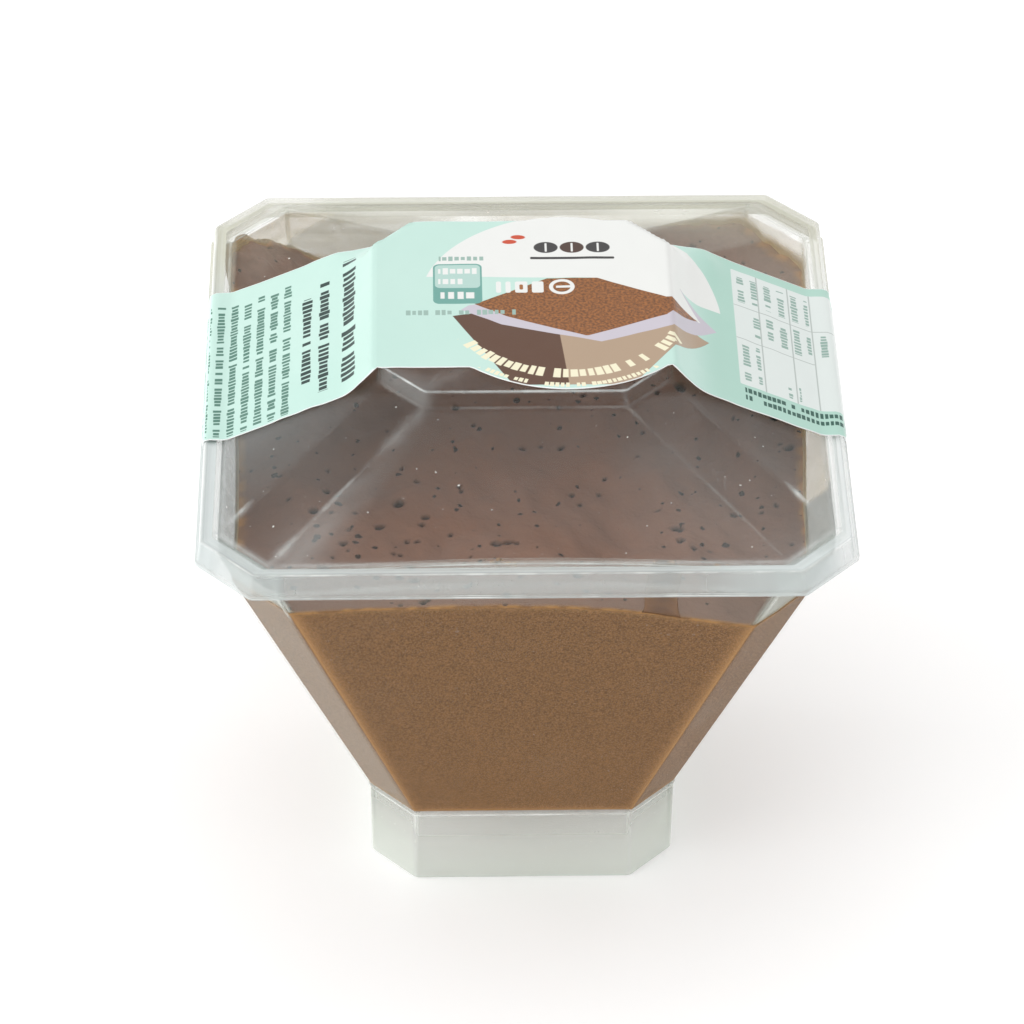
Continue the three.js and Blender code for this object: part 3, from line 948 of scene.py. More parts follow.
def build_cup(settings):
    """Flared body, rim and hollow foot, in one moulding."""
    wall, foot, milk = settings.cup_wall, settings.foot_wall, settings.foot_haze
    under_rim = RIM_Z - RIM_THICKNESS
    stops = [
        Stop(inset(FOOT_TOP, foot + 3 * MM, FOOT_CEILING_Z), 0, 0, 0.05),
        Stop(inset(FOOT_TOP, foot, FOOT_CEILING_Z), 0.5 * MM, 0.0, 0.05),
        Stop(inset(FOOT_RIM, foot), 0.25 * MM, 0.5, milk * 0.5),
        Stop(FOOT_RIM, 0.35 * MM, 0.8, milk * 1.4),
        Stop(level_at(FOOT_RIM, FOOT_TOP, FOOT_TOP.z - 0.8 * MM), 0, 0, milk * 0.5),
        Stop(FOOT_TOP, 0.28 * MM, 0.75, milk * 0.4),
        Stop(level_at(FOOT_TOP, SHOULDER, FOOT_TOP.z + 0.75 * MM), 0, 0, 0.0),
        *(Stop(level_at(FOOT_TOP, SHOULDER, z * MM), 0, 0, 0.0) for z in (40, 61.5, 64.0)),
        Stop(SHOULDER, 0.8 * MM, 0.25, 0.0),
        Stop(inset(SHOULDER, 0, under_rim), 0.15 * MM, 0.2, 0.05),
        Stop(inset(SHOULDER, -RIM_REACH, under_rim), 0.2 * MM, 0.6, 0.1),
        Stop(inset(SHOULDER, -RIM_REACH, RIM_Z), 0.2 * MM, 0.8, 0.1),
        Stop(inset(SHOULDER, wall, RIM_Z), 0.2 * MM, 0.6, 0.02),
        Stop(inset(SHOULDER, wall), 0.5 * MM, 0.1, settings.inner_haze),
        *(Stop(wall_inside(settings, z * MM), 0, 0, settings.inner_haze) for z in (64.0, 61.5, 40)),
        Stop(wall_inside(settings, CUP_FLOOR_Z), FLOOR_ROUND, 0.0, settings.inner_haze),
        Stop(wall_inside(settings, CUP_FLOOR_Z, 3 * MM), 0, 0, 0.0),
    ]
    tints = (settings.pot_milk, settings.pot_milk, settings.bright_edge)
    material = plastic_material("pot plastic", *tints, settings.cup_film, 0.006, 0.014, 0.12)
    piece = loft_piece("cup_shell", stops, material, True, 0.55, 0.012)

    def upright_lines(x, y, z, old):
        filled = between(z, 12.6 * MM, 0.2 * MM, 62.0 * MM, 1.8 * MM)
        return old * (1 - filled)

    # Painted reflection: haze added on the front left cut corner of the flared wall, lighter like the lit
    # floor it reflects
    def paint_corner_reflection(x, y, z, old):
        level = level_at(FOOT_TOP, SHOULDER, z)
        on_cut = (np.abs(x) + np.abs(y)) > (2 * level.half - level.chamfer) - 0.35 * MM
        filled = between(z, 12.6 * MM, 0.2 * MM, SHOULDER.z, 0.5 * MM)
        return old + settings.corner_painted_reflection * filled * on_cut * (x < 0) * (y < 0)

    rewrite_mark(piece, "glow", upright_lines)
    rewrite_mark(piece, "haze", paint_corner_reflection)
    return piece


LID_PAINTED_REFLECTIONS = (  # painted reflections on the dome, laid as haze: place, reach and strength
    (-30 * MM, -38 * MM, 4 * MM, 0.05), (-38 * MM, -8 * MM, 13 * MM, 0.08),
    (-30 * MM, -26 * MM, 9 * MM, 0.03), (34 * MM, -34 * MM, 12 * MM, 0.035),
    (22 * MM, -30 * MM, 9 * MM, 0.03),
    (22 * MM, 36 * MM, 9 * MM, 0.2), (36 * MM, 22 * MM, 8 * MM, 0.05), (-16 * MM, 34 * MM, 8 * MM, 0.08),
)


def build_lid(settings):
    """Skirt, ledge, faceted dome, step and raised plateau, in one thin moulding."""
    wall, milk = settings.lid_wall, settings.skirt_haze
    slope = (DOME_TOP.z - DOME_BASE.z) / (DOME_BASE.half - DOME_TOP.half)
    drop = wall * math.hypot(1, slope)
    ledge_z = DOME_BASE.z - wall
    lip_height, lip_reach, lip_step = 0.6 * MM, 0.25 * MM, 0.15 * MM
    lip_top = SKIRT_LIP._replace(z=SKIRT_LIP.z + lip_height)
    ridge = inset(SKIRT_TOP, 1.0 * MM, SKIRT_TOP.z - 0.32 * MM)
    stops = [
        Stop(inset(PLATEAU, wall + 3 * MM, PLATEAU.z - wall), 0, 0, 0.0),
        Stop(inset(PLATEAU, wall, PLATEAU.z - wall), 0.35 * MM, 0.25, 0.0),
        Stop(inset(DOME_TOP, wall, DOME_TOP.z + wall * slope - drop), 0.3 * MM, 0.1, 0.0),
        Stop(inset(DOME_BASE, (drop - wall) / slope + 0.9 * MM, ledge_z + 0.9 * MM * slope), 0, 0, 0.0),
        Stop(inset(DOME_BASE, (drop - wall) / slope, ledge_z), 0.3 * MM, 0.15, milk * 0.5),
        Stop(inset(SKIRT_TOP, wall, ledge_z), 0.3 * MM, 0.3, milk),
        Stop(inset(SKIRT_LIP, wall + lip_reach), 0.15 * MM, 0.5, milk),
        Stop(SKIRT_LIP, 0.14 * MM, 0.9, milk),
        Stop(SKIRT_LIP._replace(z=SKIRT_LIP.z + 0.5 * lip_height), 0, 0.85, milk),
        Stop(lip_top, 0.14 * MM, 0.6, milk),
        Stop(inset(SKIRT_LIP, lip_reach, lip_top.z + lip_step), 0.1 * MM, 0.2, milk),
        Stop(SKIRT_TOP, 0.38 * MM, 0.7, milk),
        Stop(ridge, 0.2 * MM, 0.15, milk * 1.4),
        Stop(DOME_BASE, 0.4 * MM, 0.3, 0.02),
        *(Stop(mix_levels(DOME_BASE, DOME_TOP, share), 0, 0, 0.0) for share in np.arange(0.05, 0.95, 0.09)),
        Stop(DOME_TOP, 0.45 * MM, 0.07, 0.0),
        Stop(PLATEAU, 0.32 * MM, 0.6, 0.0),
        Stop(inset(PLATEAU, 3 * MM), 0, 0, 0.0),
    ]
    tints = (settings.plastic, settings.plastic_back, settings.bright_edge)
    material = plastic_material("lid plastic", *tints, settings.lid_film, 0.015, 0.02, 0.7)
    piece = loft_piece("lid_shell", stops, material, False, 0.09, 0.008)

    def on_crease(x, y, cut):
        """Share up one of the dome's upright creases, and distance from it towards the front."""
        base, top = corners_of(DOME_BASE)[cut], corners_of(DOME_TOP)[cut]
        run = top - base
        length_of = math.hypot(*run)
        along = ((x - base[0]) * run[0] + (y - base[1]) * run[1]) / length_of ** 2
        across = ((x - base[0]) * run[1] - (y - base[1]) * run[0]) / length_of
        return along, across

    # Painted highlights: glow laid along the lower part of a front left crease of the dome, fainter higher
    # up, and as short spikes on two more creases
    def paint_crease_highlights(x, y, z, old):
        along, across = on_crease(x, y, 6)
        width = (0.25 + 1.0 * np.clip(0.6 - along, 0, 1)) * MM
        crease_highlight = 0.35 * hump(across, width) * smooth((0.62 - along) / 0.12) * (along > -0.03)
        upper = 0.1 * hump(across, 1.1 * MM) * ramp(along, 0.62, 0.1)
        total = np.maximum(crease_highlight, upper)
        for cut, start, end in ((0, 0.18, 0.32), (5, 0.1, 0.2)):
            along, across = on_crease(x, y, cut)
            width = (0.12 + 0.75 * np.clip((end - along) / (end - start), 0, 1)) * MM
            inside = smooth((end + 0.02 - along) / 0.05) * smooth((along - start + 0.03) / 0.04)
            spike = hump(across, width) * np.maximum(0.75 * inside, 0.1 * (along < start))
            total = np.maximum(total, spike * (along > 0))
        return np.maximum(old, total * (z > DOME_BASE.z))

    # Haze raised and lowered by side of the skirt, and painted reflections and highlights laid on the dome as
    # haze
    def haze_and_painted_reflections(x, y, z, old):
        outer = z > DOME_BASE.z - 0.1 * MM
        on_skirt = np.maximum(np.abs(x), np.abs(y)) > DOME_BASE.half - 0.2 * MM
        on_skirt = np.maximum(on_skirt, np.abs(x) + np.abs(y) > 2 * DOME_BASE.half - DOME_BASE.chamfer)
        front, back = ramp(-y, 38 * MM, 2 * MM), ramp(y, 34 * MM, 5 * MM)
        left, right = ramp(-x, 40 * MM, 2 * MM), ramp(x, 40 * MM, 2 * MM)
        change = 0.7 * front * ramp(x, 22 * MM, 8 * MM)
        change += 0.1 * front * ramp(-x, 26 * MM, 6 * MM)
        change += 0.1 * back - 0.4 * back * ramp(-x, 26 * MM, 5 * MM)
        change += (1.0 * left - 0.3 * right) * (1 - front) * (1 - back)
        total = old * (1 + change * on_skirt)
        for at_x, at_y, reach, strength in LID_PAINTED_REFLECTIONS:
            total = total + strength * mound(x - at_x, reach, y - at_y, reach) * outer
        # Painted reflection: a soft bright wedge of haze beside the front left crease
        along, across = on_crease(x, y, 6)
        wedge = smooth(across / (0.4 * MM)) * smooth((5.5 * MM * (0.66 - along) / 0.66 - across) / (0.8 * MM))
        total = total + 0.09 * wedge * smooth((0.64 - along) / 0.1) * (along > -0.03) * outer
        # Painted highlight: a band of haze on the front left cut corner of the step up to the plateau
        past_cut = np.abs(x) + np.abs(y) > 2 * PLATEAU.half - PLATEAU.chamfer - MM
        on_step = (z > DOME_TOP.z - 0.1 * MM) * past_cut
        return total + 0.06 * on_step * (x < 0) * (y < 0)

    rewrite_mark(piece, "glow", paint_crease_highlights)
    rewrite_mark(piece, "haze", haze_and_painted_reflections)
    return piece


# ---- Mousse -------------------------------------------------------------------------------

def side_shares(directions, level):
    """For rays from the axis: which side of the level they meet, and how far along it."""
    lead = math.atan2(level.half - level.chamfer, level.half)
    turned = np.mod(directions + lead, 2 * math.pi)
    quarter = np.floor(turned / (math.pi / 2)).astype(int) % 4
    side = quarter * 2 + (turned - quarter * math.pi / 2 >= 2 * lead)
    corners = corners_of(level)
    points = on_wall(directions, level, 0)
    start, end = corners[side], corners[(side + 1) % 8]
    share = np.linalg.norm(points - start, axis=-1) / np.linalg.norm(end - start, axis=-1)
    return side, np.clip(share, 0, 1)


def along_sides(side, share, level, bow):
    """Points at given shares of a level's sides, front bow included."""
    corners = corners_of(level)
    points = corners[side] * (1 - share[:, None]) + corners[(side + 1) % 8] * share[:, None]
    points[:, 1] += np.where(side == FRONT, drawn_in(level, bow, points[:, 0]), 0)
    return points


def on_wall(directions, level, bow):
    """Where rays from the axis meet a level's outline, front bow included."""
    x, y = np.cos(directions), np.sin(directions)
    to_cut = (2 * level.half - level.chamfer) / (np.abs(x) + np.abs(y))
    reach = np.minimum(level.half / np.maximum(np.abs(x), np.abs(y)), to_cut)
    points = np.stack([x * reach, y * reach], -1)
    on_front = points[..., 1] < -level.half + 1e-6
    points[..., 1] += np.where(on_front, drawn_in(level, bow, points[..., 0]), 0)
    return points


def mousse_surface(settings, xy):
    """Height of the open top without its bubbles: sagging to the right, climbing the back corners."""
    rng = np.random.default_rng(11)
    x, y = xy[:, 0] / MM, xy[:, 1] / MM
    depth = np.where(y > -15, y, -15 + 0.15 * (y + 15))
    plane = settings.level / MM - 0.0114 * x + 0.1215 * depth + 0.00092 * x * depth
    at_front = (1.3 - 2.5 * ramp(x, 4, 30)) * hump(y + 40, 10)
    dip = -3.9 * mound(x + 26, 9, y - 40, 8)
    ragged = 1 + 0.06 * ripples(xy, 4 * MM, rng, 14) + 0.04 * ripples(xy, 1.8 * MM, rng, 14)
    climb = settings.climb / MM * mound(x + 40, 7.5, y - 35, 6.5) * ragged
    climb += 0.3 * mound(x - 28, 7, y - 40, 6) * ragged
    climb -= 0.9 * mound(x - 41, 7, y - 38, 7)
    edge = np.maximum(np.abs(x), np.abs(y)) / 39
    dish = -0.8 * (1 - smooth(edge / 0.95))
    uneven_back = 0.12 * ripples(xy, 4 * MM, rng) + 0.06 * ripples(xy, 1.6 * MM, rng)
    uneven_back = ramp(y, 20, 15) * uneven_back
    calm = 1 - 0.75 * ramp(edge, 0.8, 0.15)
    lumps = (0.4 * ripples(xy, 15 * MM, rng) + 0.12 * ripples(xy, 5.5 * MM, rng)) * calm
    fine = 0.025 * ripples(xy, 2.2 * MM, rng, 30) + 0.015 * ripples(xy, 1.0 * MM, rng, 40)
    return (plane + at_front + dip + climb + dish + uneven_back + lumps + fine) * MM


def open_bubbles(settings, xy):
    """Depth of the open bubbles in the top, and a mask of their insides."""
    rng = np.random.default_rng(29)
    depth, mask = np.zeros(len(xy)), np.zeros(len(xy))
    span = 39 * MM
    for k in range(settings.pits):
        if k % 5 == 0:
            centre = np.array([-13 * MM, -26 * MM]) + rng.normal(0, 10 * MM, 2)
        else:
            centre = rng.uniform(-span, span, 2)
        radius = (0.28 + 0.42 * rng.random() ** 3) * MM
        stretch, turn = rng.uniform(1.0, 1.5), rng.uniform(0, math.pi)
        near = np.flatnonzero(np.abs(xy - centre).max(1) < 3 * radius)
        offset = xy[near] - centre
        along = (offset[:, 0] * math.cos(turn) + offset[:, 1] * math.sin(turn)) / stretch
        across = -offset[:, 0] * math.sin(turn) + offset[:, 1] * math.cos(turn)
        distance = np.hypot(along, across) / radius
        bowl = smooth((1.15 - distance) / 0.4)
        rim = 0.16 * hump(distance - 1.3, 0.25)
        depth[near] = np.maximum(depth[near], 1.1 * radius * bowl) - rim * radius
        mask[near] = np.maximum(mask[near], bowl)
    return depth, mask


def build_mousse(settings, wall):
    """One closed body: the uneven top, the sides just inside the wall, and the floor."""
    cells, into_wall, floor_round = 256, 0.3 * MM, 0.35 * MM
    line = np.linspace(-1, 1, cells + 1)
    u, v = np.meshgrid(line, line)
    share = np.maximum(np.abs(u), np.abs(v)).ravel()
    turn = np.arctan2(v, u).ravel()
    loop = np.concatenate([  # the grid's border, counter-clockwise
        np.arange(cells), cells + np.arange(cells) * (cells + 1),
        (cells + 1) ** 2 - 1 - np.arange(cells), (cells - np.arange(cells)) * (cells + 1)])

    side, place = side_shares(turn, level_at(FOOT_TOP, SHOULDER, settings.level))

    def skin(chosen, z, distance=0.0):
        level = inset(level_at(FOOT_TOP, SHOULDER, z), wall - into_wall + distance)
        return along_sides(side[chosen], place[chosen], level, bow_at(z))

    everywhere = np.arange(len(turn))
    low_z = CUP_FLOOR_Z - 0.5 * MM + floor_round
    high_z = SHOULDER.z
    low, high = skin(everywhere, low_z), skin(everywhere, high_z)
    contact = low.copy()
    for _ in range(5):
        lift = np.clip((mousse_surface(settings, contact) - low_z) / (high_z - low_z), 0, 1.1)
        contact = low + (high - low) * lift[:, None]
    xy = contact * share[:, None]
    height = mousse_surface(settings, xy)
    rim_share = ramp(share, 0.965, 0.035)
    depth, mask = open_bubbles(settings, xy)
    depth *= 1 - rim_share
    height = height - depth + 0.12 * MM * rim_share ** 2
    top = np.column_stack([xy, height])
    rng = np.random.default_rng(5)
    streaks = smooth(0.5 + 0.6 * ripples(xy, 3 * MM, rng))
    broad = 0.028 + 0.022 * smooth(xy[:, 0] / (38 * MM)) * smooth((xy[:, 1] + 25 * MM) / (15 * MM))
    broad += 0.022 * ramp(-xy[:, 0], 34 * MM, 3 * MM)
    fringe = smooth((share - 1 + broad) / (0.8 * broad)) * (0.35 + 0.65 * streaks)

    rows, row_fringe = [], []
    edge, foot = top[loop], at_height(low[loop], low_z)
    depths = np.concatenate([[0.004, 0.012, 0.03], np.linspace(0.07, 0.96, 13), [0.977, 0.988, 0.995, 1]])
    to_corner = np.minimum(place[loop], 1 - place[loop])
    for t in depths:
        rows.append(edge + (foot - edge) * t)
        near_end = np.maximum(0.35 * np.exp(-t / 0.008), 0.7 * np.exp(-(1 - t) / 0.009))
        near_corner = np.where(side[loop] == FRONT, 0.95 * np.exp(-to_corner / 0.014), 0.0)
        row_fringe.append(np.maximum(near_end, near_corner))
    for turn_share in (0.35, 0.7, 1.0):
        angle = turn_share * math.pi / 2
        distance = floor_round * (1 - math.cos(angle))
        z = low_z - floor_round * math.sin(angle)
        rows.append(at_height(skin(loop, max(z, FOOT_TOP.z), distance), z))
        row_fringe.append(np.zeros(len(loop)))
    base = rows[-1]
    for shrink in (0.8, 0.6, 0.4, 0.2):
        rows.append(base * (shrink, shrink, 1))
        row_fringe.append(np.zeros(len(loop)))

    count, first = len(loop), len(top)
    vertices = np.vstack([top, *rows, [[0, 0, rows[-1][0, 2]]]])
    top_quads = grid_faces(cells + 1, cells + 1, closed=False)
    links = np.column_stack([loop, first + np.arange(count), first + np.roll(np.arange(count), -1),
                             np.roll(loop, -1)])
    walls = (grid_faces(len(rows), count) + first)[:, ::-1]
    hub = fan_faces(first + (len(rows) - 1) * count, count, len(vertices) - 1, True)
    faces = [*top_quads, *links, *walls, *hub]
    bare = np.zeros(len(vertices) - first)
    marks = {
        "top": np.concatenate([1 - 0.8 * rim_share ** 6, bare]),
        "pit": np.concatenate([mask * (1 - rim_share), bare]),
        "fringe": np.concatenate([fringe, *row_fringe, [0]]),
    }
    colours = [rgba(c) for c in (settings.side, settings.top, settings.pit, settings.fringe)]
    material = mousse_material("chocolate mousse", *colours)
    return add_piece("mousse_body", vertices, faces, material, marks)


# ---- Thin sheets: label, smear and film ---------------------------------------------------

def sheet_piece(name, under, over, material, marks, flat_map=None):
    """A closed thin sheet between two grids of points (rows, columns, 3), seen from the over side."""
    rows, columns = over.shape[:2]
    count = rows * columns
    vertices = np.vstack([over.reshape(-1, 3), under.reshape(-1, 3)])
    upper = grid_faces(rows, columns, closed=False)
    lower = upper[:, ::-1] + count
    rim = np.concatenate([
        np.arange(columns - 1), (columns - 1) + np.arange(rows - 1) * columns,
        count - 1 - np.arange(columns - 1), (rows - 1 - np.arange(rows - 1)) * columns])
    after = np.roll(rim, -1)
    sides = np.column_stack([after, rim, rim + count, after + count])
    faces = [*upper, *lower, *sides]
    doubled = {key: np.concatenate([values.ravel(), values.ravel()]) for key, values in marks.items()}
    piece = add_piece(name, vertices, faces, material, doubled)
    if flat_map is not None:
        layer = piece.data.uv_layers.new(name="print")
        pairs = np.vstack([flat_map.reshape(-1, 2)] * 2)
        corners = np.zeros(len(piece.data.loops), np.int32)
        piece.data.loops.foreach_get("vertex_index", corners)
        layer.data.foreach_set("uv", pairs[corners].ravel())
    return piece


def lid_height(x, y):
    """Height of the lid's facets over points, bridged over the ledge, and how far outside the plateau."""
    across = np.maximum(np.abs(x), np.abs(y))
    diagonal = (np.abs(x) + np.abs(y)) / math.sqrt(2)

    def corner(level):
        return (2 * level.half - level.chamfer) / math.sqrt(2)

    rise = DOME_TOP.z - DOME_BASE.z
    side = DOME_TOP.z - rise * (across - DOME_TOP.half) / (DOME_BASE.half - DOME_TOP.half)
    cut = DOME_TOP.z - rise * (diagonal - corner(DOME_TOP)) / (corner(DOME_BASE) - corner(DOME_TOP))
    height = np.maximum(np.minimum(side, cut), SKIRT_TOP.z + 0.02 * MM)
    outside = np.maximum(across - PLATEAU.half, diagonal - corner(PLATEAU))
    return height, outside


def drape(x, y):
    """The film lies flat on the plateau, bridges the step and lands on the slope."""
    height, outside = lid_height(x, y)
    past = outside - BAND_OVERHANG
    share = np.clip(past / BAND_BRIDGE, 0, 1)
    edge_height = DOME_TOP.z - 0.45 * BAND_OVERHANG
    return np.where(past <= 0, PLATEAU.z, height + (PLATEAU.z - edge_height) * (1 - share) ** 2)


def build_label(settings):
    """A printed band over the lid with a round badge in its middle and two short tails."""
    top_x = np.linspace(-SKIRT_TOP.half, SKIRT_TOP.half, 141)
    drops = np.append(np.array([0.35, 0.9, 1.7, 2.5, 3.1]) * MM, BAND_TAIL)
    along = np.concatenate([-SKIRT_TOP.half - drops[::-1], top_x, SKIRT_TOP.half + drops])
    x = np.clip(along, -SKIRT_TOP.half, SKIRT_TOP.half)
    drop = np.abs(along) - np.abs(x)
    centre_x, centre_y, radius = BADGE
    disc = np.sqrt(np.maximum(radius ** 2 - (x - centre_x) ** 2, 0))
    front = np.minimum(BAND_FRONT, centre_y - disc)
    back = np.maximum(BAND_BACK, centre_y + disc)
    share = np.concatenate([[0, 0.005], np.linspace(0.014, 0.986, 62), [0.995, 1]])
    y = front + (back - front) * share[:, None]
    x_grid, drop_grid = np.broadcast_to(x, y.shape), np.broadcast_to(drop, y.shape)
    flare = (SKIRT_LIP.half - SKIRT_TOP.half) / (SKIRT_TOP.z - SKIRT_LIP.z)
    rng = np.random.default_rng(17)
    along_grid = np.broadcast_to(along, y.shape)
    flat = np.column_stack([along_grid.ravel(), y.ravel()])
    waves = (0.07 * ripples(flat, 11 * MM, rng) + 0.03 * ripples(flat, 4 * MM, rng)).reshape(y.shape) * MM
    _, outside = lid_height(x_grid, y)
    off_plateau = smooth(outside / (3 * MM))
    blister = 0.75 * MM * mound(x_grid - 26.4 * MM, 1.7 * MM, y - 15.6 * MM, 3.2 * MM)
    loose = np.maximum(waves * (0.35 + 0.65 * off_plateau), -0.02 * MM) + blister
    hanging = drop_grid * (0.25 + 0.75 * smooth((y - y[0]) / (5 * MM)))

    def face(lift):
        over = drop_grid > 0
        hang = lift if lift > settings.lift else 0.06 * MM  # the tails lie close against the skirt
        z = np.where(over, SKIRT_TOP.z - hanging, drape(x_grid, y) + lift * 1.1 + loose)
        reach = x_grid + np.sign(x_grid) * np.where(over, flare * hanging + hang + 0.3 * np.abs(loose), 0)
        rounding = 0.25 * MM * hump(np.abs(along_grid) - SKIRT_TOP.half, 0.3 * MM)
        return np.stack([reach, y, np.where(over, z, z - rounding)], -1)

    flat_map = np.stack([(along_grid / MM + 50) / 100, (y / MM + 50) / 100], -1)
    edge = np.zeros(y.shape)
    edge[0], edge[-1] = 1, 1
    edge[:, 0], edge[:, -1] = 1, 1
    material = label_material(settings)
    under, over = face(settings.lift), face(settings.lift + settings.thickness)
    return sheet_piece("label_band", under, over, material, {"edge": edge}, flat_map)


def residue_material(name, tint, dark, cool, cover):
    """Mousse wiped thin over the wall: uneven, see-through where it is thinnest."""
    material, nodes, shader = new_material(name)
    place = place_of(nodes)
    froth = nodes.group(froth_group(), Place=place)
    body = nodes.attribute("body")
    thin = nodes.span(nodes.noise(place, 260.0, 4.0, 0.6), 0.3, 0.7, 0.86, 1.08)
    grain = nodes.span(froth["Grain"], 0.3, 0.7)
    shade = nodes.blend(nodes.times(body, nodes.span(froth["Patches"], 0.3, 0.7, 0.5, 1.0)),
                        tint, dark)
    shade = nodes.blend(nodes.times(grain, 0.25), shade, dark)
    shade = nodes.blend(nodes.attribute("cool"), shade, cool)
    alpha = nodes.times(nodes.times(nodes.attribute("cover"), thin), cover, clamp=True)
    bump = nodes.bump(0.4, 0.12 * MM, froth["Height"])
    wire(shader, {"Base Color": shade, "Alpha": alpha, "Normal": bump, "Roughness": 0.5})
    return material


def wall_grid(wall, along, heights, side):
    """Points on the inside of a wall: along is x on the front, or the angle all the way round."""
    grid = np.zeros((len(heights), len(along), 3))
    for i, z in enumerate(heights):
        level = inset(level_at(FOOT_TOP, SHOULDER, z), wall) if z < SHOULDER.z else inset(SHOULDER, wall)
        if side == "front":
            xy = np.column_stack([along, -level.half + drawn_in(level, bow_at(z), along)])
        else:
            xy = on_wall(along, level, 0)
        grid[i] = at_height(xy, z)
    return grid


def build_smear(settings, wall):
    """A wiped streak of mousse on the inside of the front wall, right of the middle."""
    heights = np.linspace(60.2 * MM, 72.6 * MM, 50)
    across = np.linspace(-1, 1, 23)
    rng = np.random.default_rng(3)
    rise = (heights - heights[0]) / (heights[-1] - heights[0])
    middle = (17.6 + 0.4 * rise + 0.12 * np.sin(rise * 9)) * MM
    half = (2.9 - 0.7 * smooth(rise * 3.2)) * MM
    half = half * np.sqrt(np.clip(1 - ((rise - 0.45) / 0.58) ** 8, 0.01, 1))
    x = middle[:, None] + half[:, None] * across
    points = np.zeros((len(heights), len(across), 3))
    for i, z in enumerate(heights):
        points[i] = wall_grid(wall, x[i], [z], "front")[0]
    flat = np.column_stack([x.ravel(), np.repeat(heights, len(across))])
    uneven = (1 + 0.35 * ripples(flat, 2.5 * MM, rng)).reshape(x.shape)
    body = np.clip((1 - across ** 2), 0, 1)[None, :] * np.clip(uneven, 0.75, 1.3)
    inward = points + np.array([0, 1, 0]) * (0.08 + 0.5 * body[..., None]) * MM
    outward = points + np.array([0, -1, 0]) * 0.1 * MM
    cover = 0.85 + 0.35 * smooth(body / 0.25)
    tint, dark = rgba(settings.fringe, 0.36, 0.29, 0.2), rgba(settings.side, 0.56, 0.45, 0.3)
    material = residue_material("mousse smear", tint, dark, dark, 1.0)
    marks = {"body": body, "cover": cover, "cool": np.zeros(x.shape)}
    return sheet_piece("front_smear", inward, outward, material, marks)


def build_film(settings, wall):
    """A thin film round the wall: beige and dense in the back left corner, a soft fringe elsewhere, and a
    dense grey film as painted shade on the front part of the right wall.
    """
    turns = np.linspace(math.radians(-52), math.radians(232), 300)
    heights = np.linspace(59.0 * MM, 72.9 * MM, 46)
    points = wall_grid(wall, turns, heights, "round")
    contact = points[len(heights) // 2, :, :2]
    edge_z = mousse_surface(settings, contact)
    rng = np.random.default_rng(23)
    flat = points.reshape(-1, 3)[:, [0, 2]] + points.reshape(-1, 3)[:, [1, 1]] * np.array([0.7, 0.3])
    uneven = (0.5 * ripples(flat, 7 * MM, rng) + 0.3 * ripples(flat, 2.0 * MM, rng)).reshape(points.shape[:2])
    degrees, z_mm = np.degrees(turns), heights[:, None] / MM
    above = (heights[:, None] - edge_z) / MM
    slant = 123 + 1.5 * (72 - z_mm)  # the cream part's slanting edge on the back wall, in degrees
    cream_side = ramp(degrees, slant, 1.2)
    corner = (0.58 - 0.2 * cream_side) * between(degrees, 100, 8, 150, 8)
    y_mm = contact[:, 1] / MM
    right_wall = smooth((28 - degrees) / 12)
    # Painted shade: the front part of the right wall is marked as shadowed, and the film there is laid dense
    # and grey
    shadowed = smooth((-14.0 - 0.62 * (z_mm - 61.5) - y_mm) / 1.0) * right_wall
    creamy = (1 - shadowed) * right_wall
    back_right = between(degrees, 28, 8, 92, 8)
    reach = 0.55 + 0.75 * back_right + 0.2 * uneven
    fringe = 0.72 * hump(np.maximum(above, 0), reach) * (above > -1.5)
    left_wall = ramp(degrees, 146, 5)
    haze = (0.22 * back_right + 0.5 * left_wall) + 0.38 * creamy + 0.6 * shadowed
    over_cut = between(degrees, 121, 3, 142, 4)
    top_edge = 1 - smooth((z_mm - (72.0 + 0.6 * over_cut + 0.2 * uneven)) / 0.3)
    band = ramp(z_mm, 70.6, 0.5) * (ramp(degrees, 106, 5) * (1 - over_cut))
    cover = np.clip(np.maximum(corner * (1 + 0.1 * uneven), fringe) + haze + 0.45 * band, 0, 1) * top_edge
    cover[-1], cover[:, 0], cover[:, -1] = 0, 0, 0
    body = np.clip(np.maximum(0.12 + 0.12 * uneven, 0.9 * fringe), 0, 1)
    inwards = -points * np.array([1, 1, 0])
    inwards = inwards / np.linalg.norm(inwards, axis=-1, keepdims=True)
    thickness = (0.05 + 0.15 * cover[..., None]) * MM
    over, under = points + inwards * (0.03 * MM + thickness), points + inwards * 0.02 * MM
    tint, dark = rgba(settings.film), rgba(settings.fringe)
    material = residue_material("mousse film", tint, dark, rgba(settings.grey_film_and_shade), 0.95)
    # Grey film: painted shade where the right wall is shadowed, plain grey on the left wall and in the back
    # left corner
    cool = 0.9 * shadowed + 0.25 * creamy + left_wall + 0.9 * corner * (1 - cream_side)
    cool = np.clip(cool, 0, 1) * (1 - fringe)
    marks = {"body": body[:, ::-1], "cover": cover[:, ::-1], "cool": cool[:, ::-1]}
    return sheet_piece("wall_film", over[:, ::-1], under[:, ::-1], material, marks)


# ---- Scattered bits -----------------------------------------------------------------------

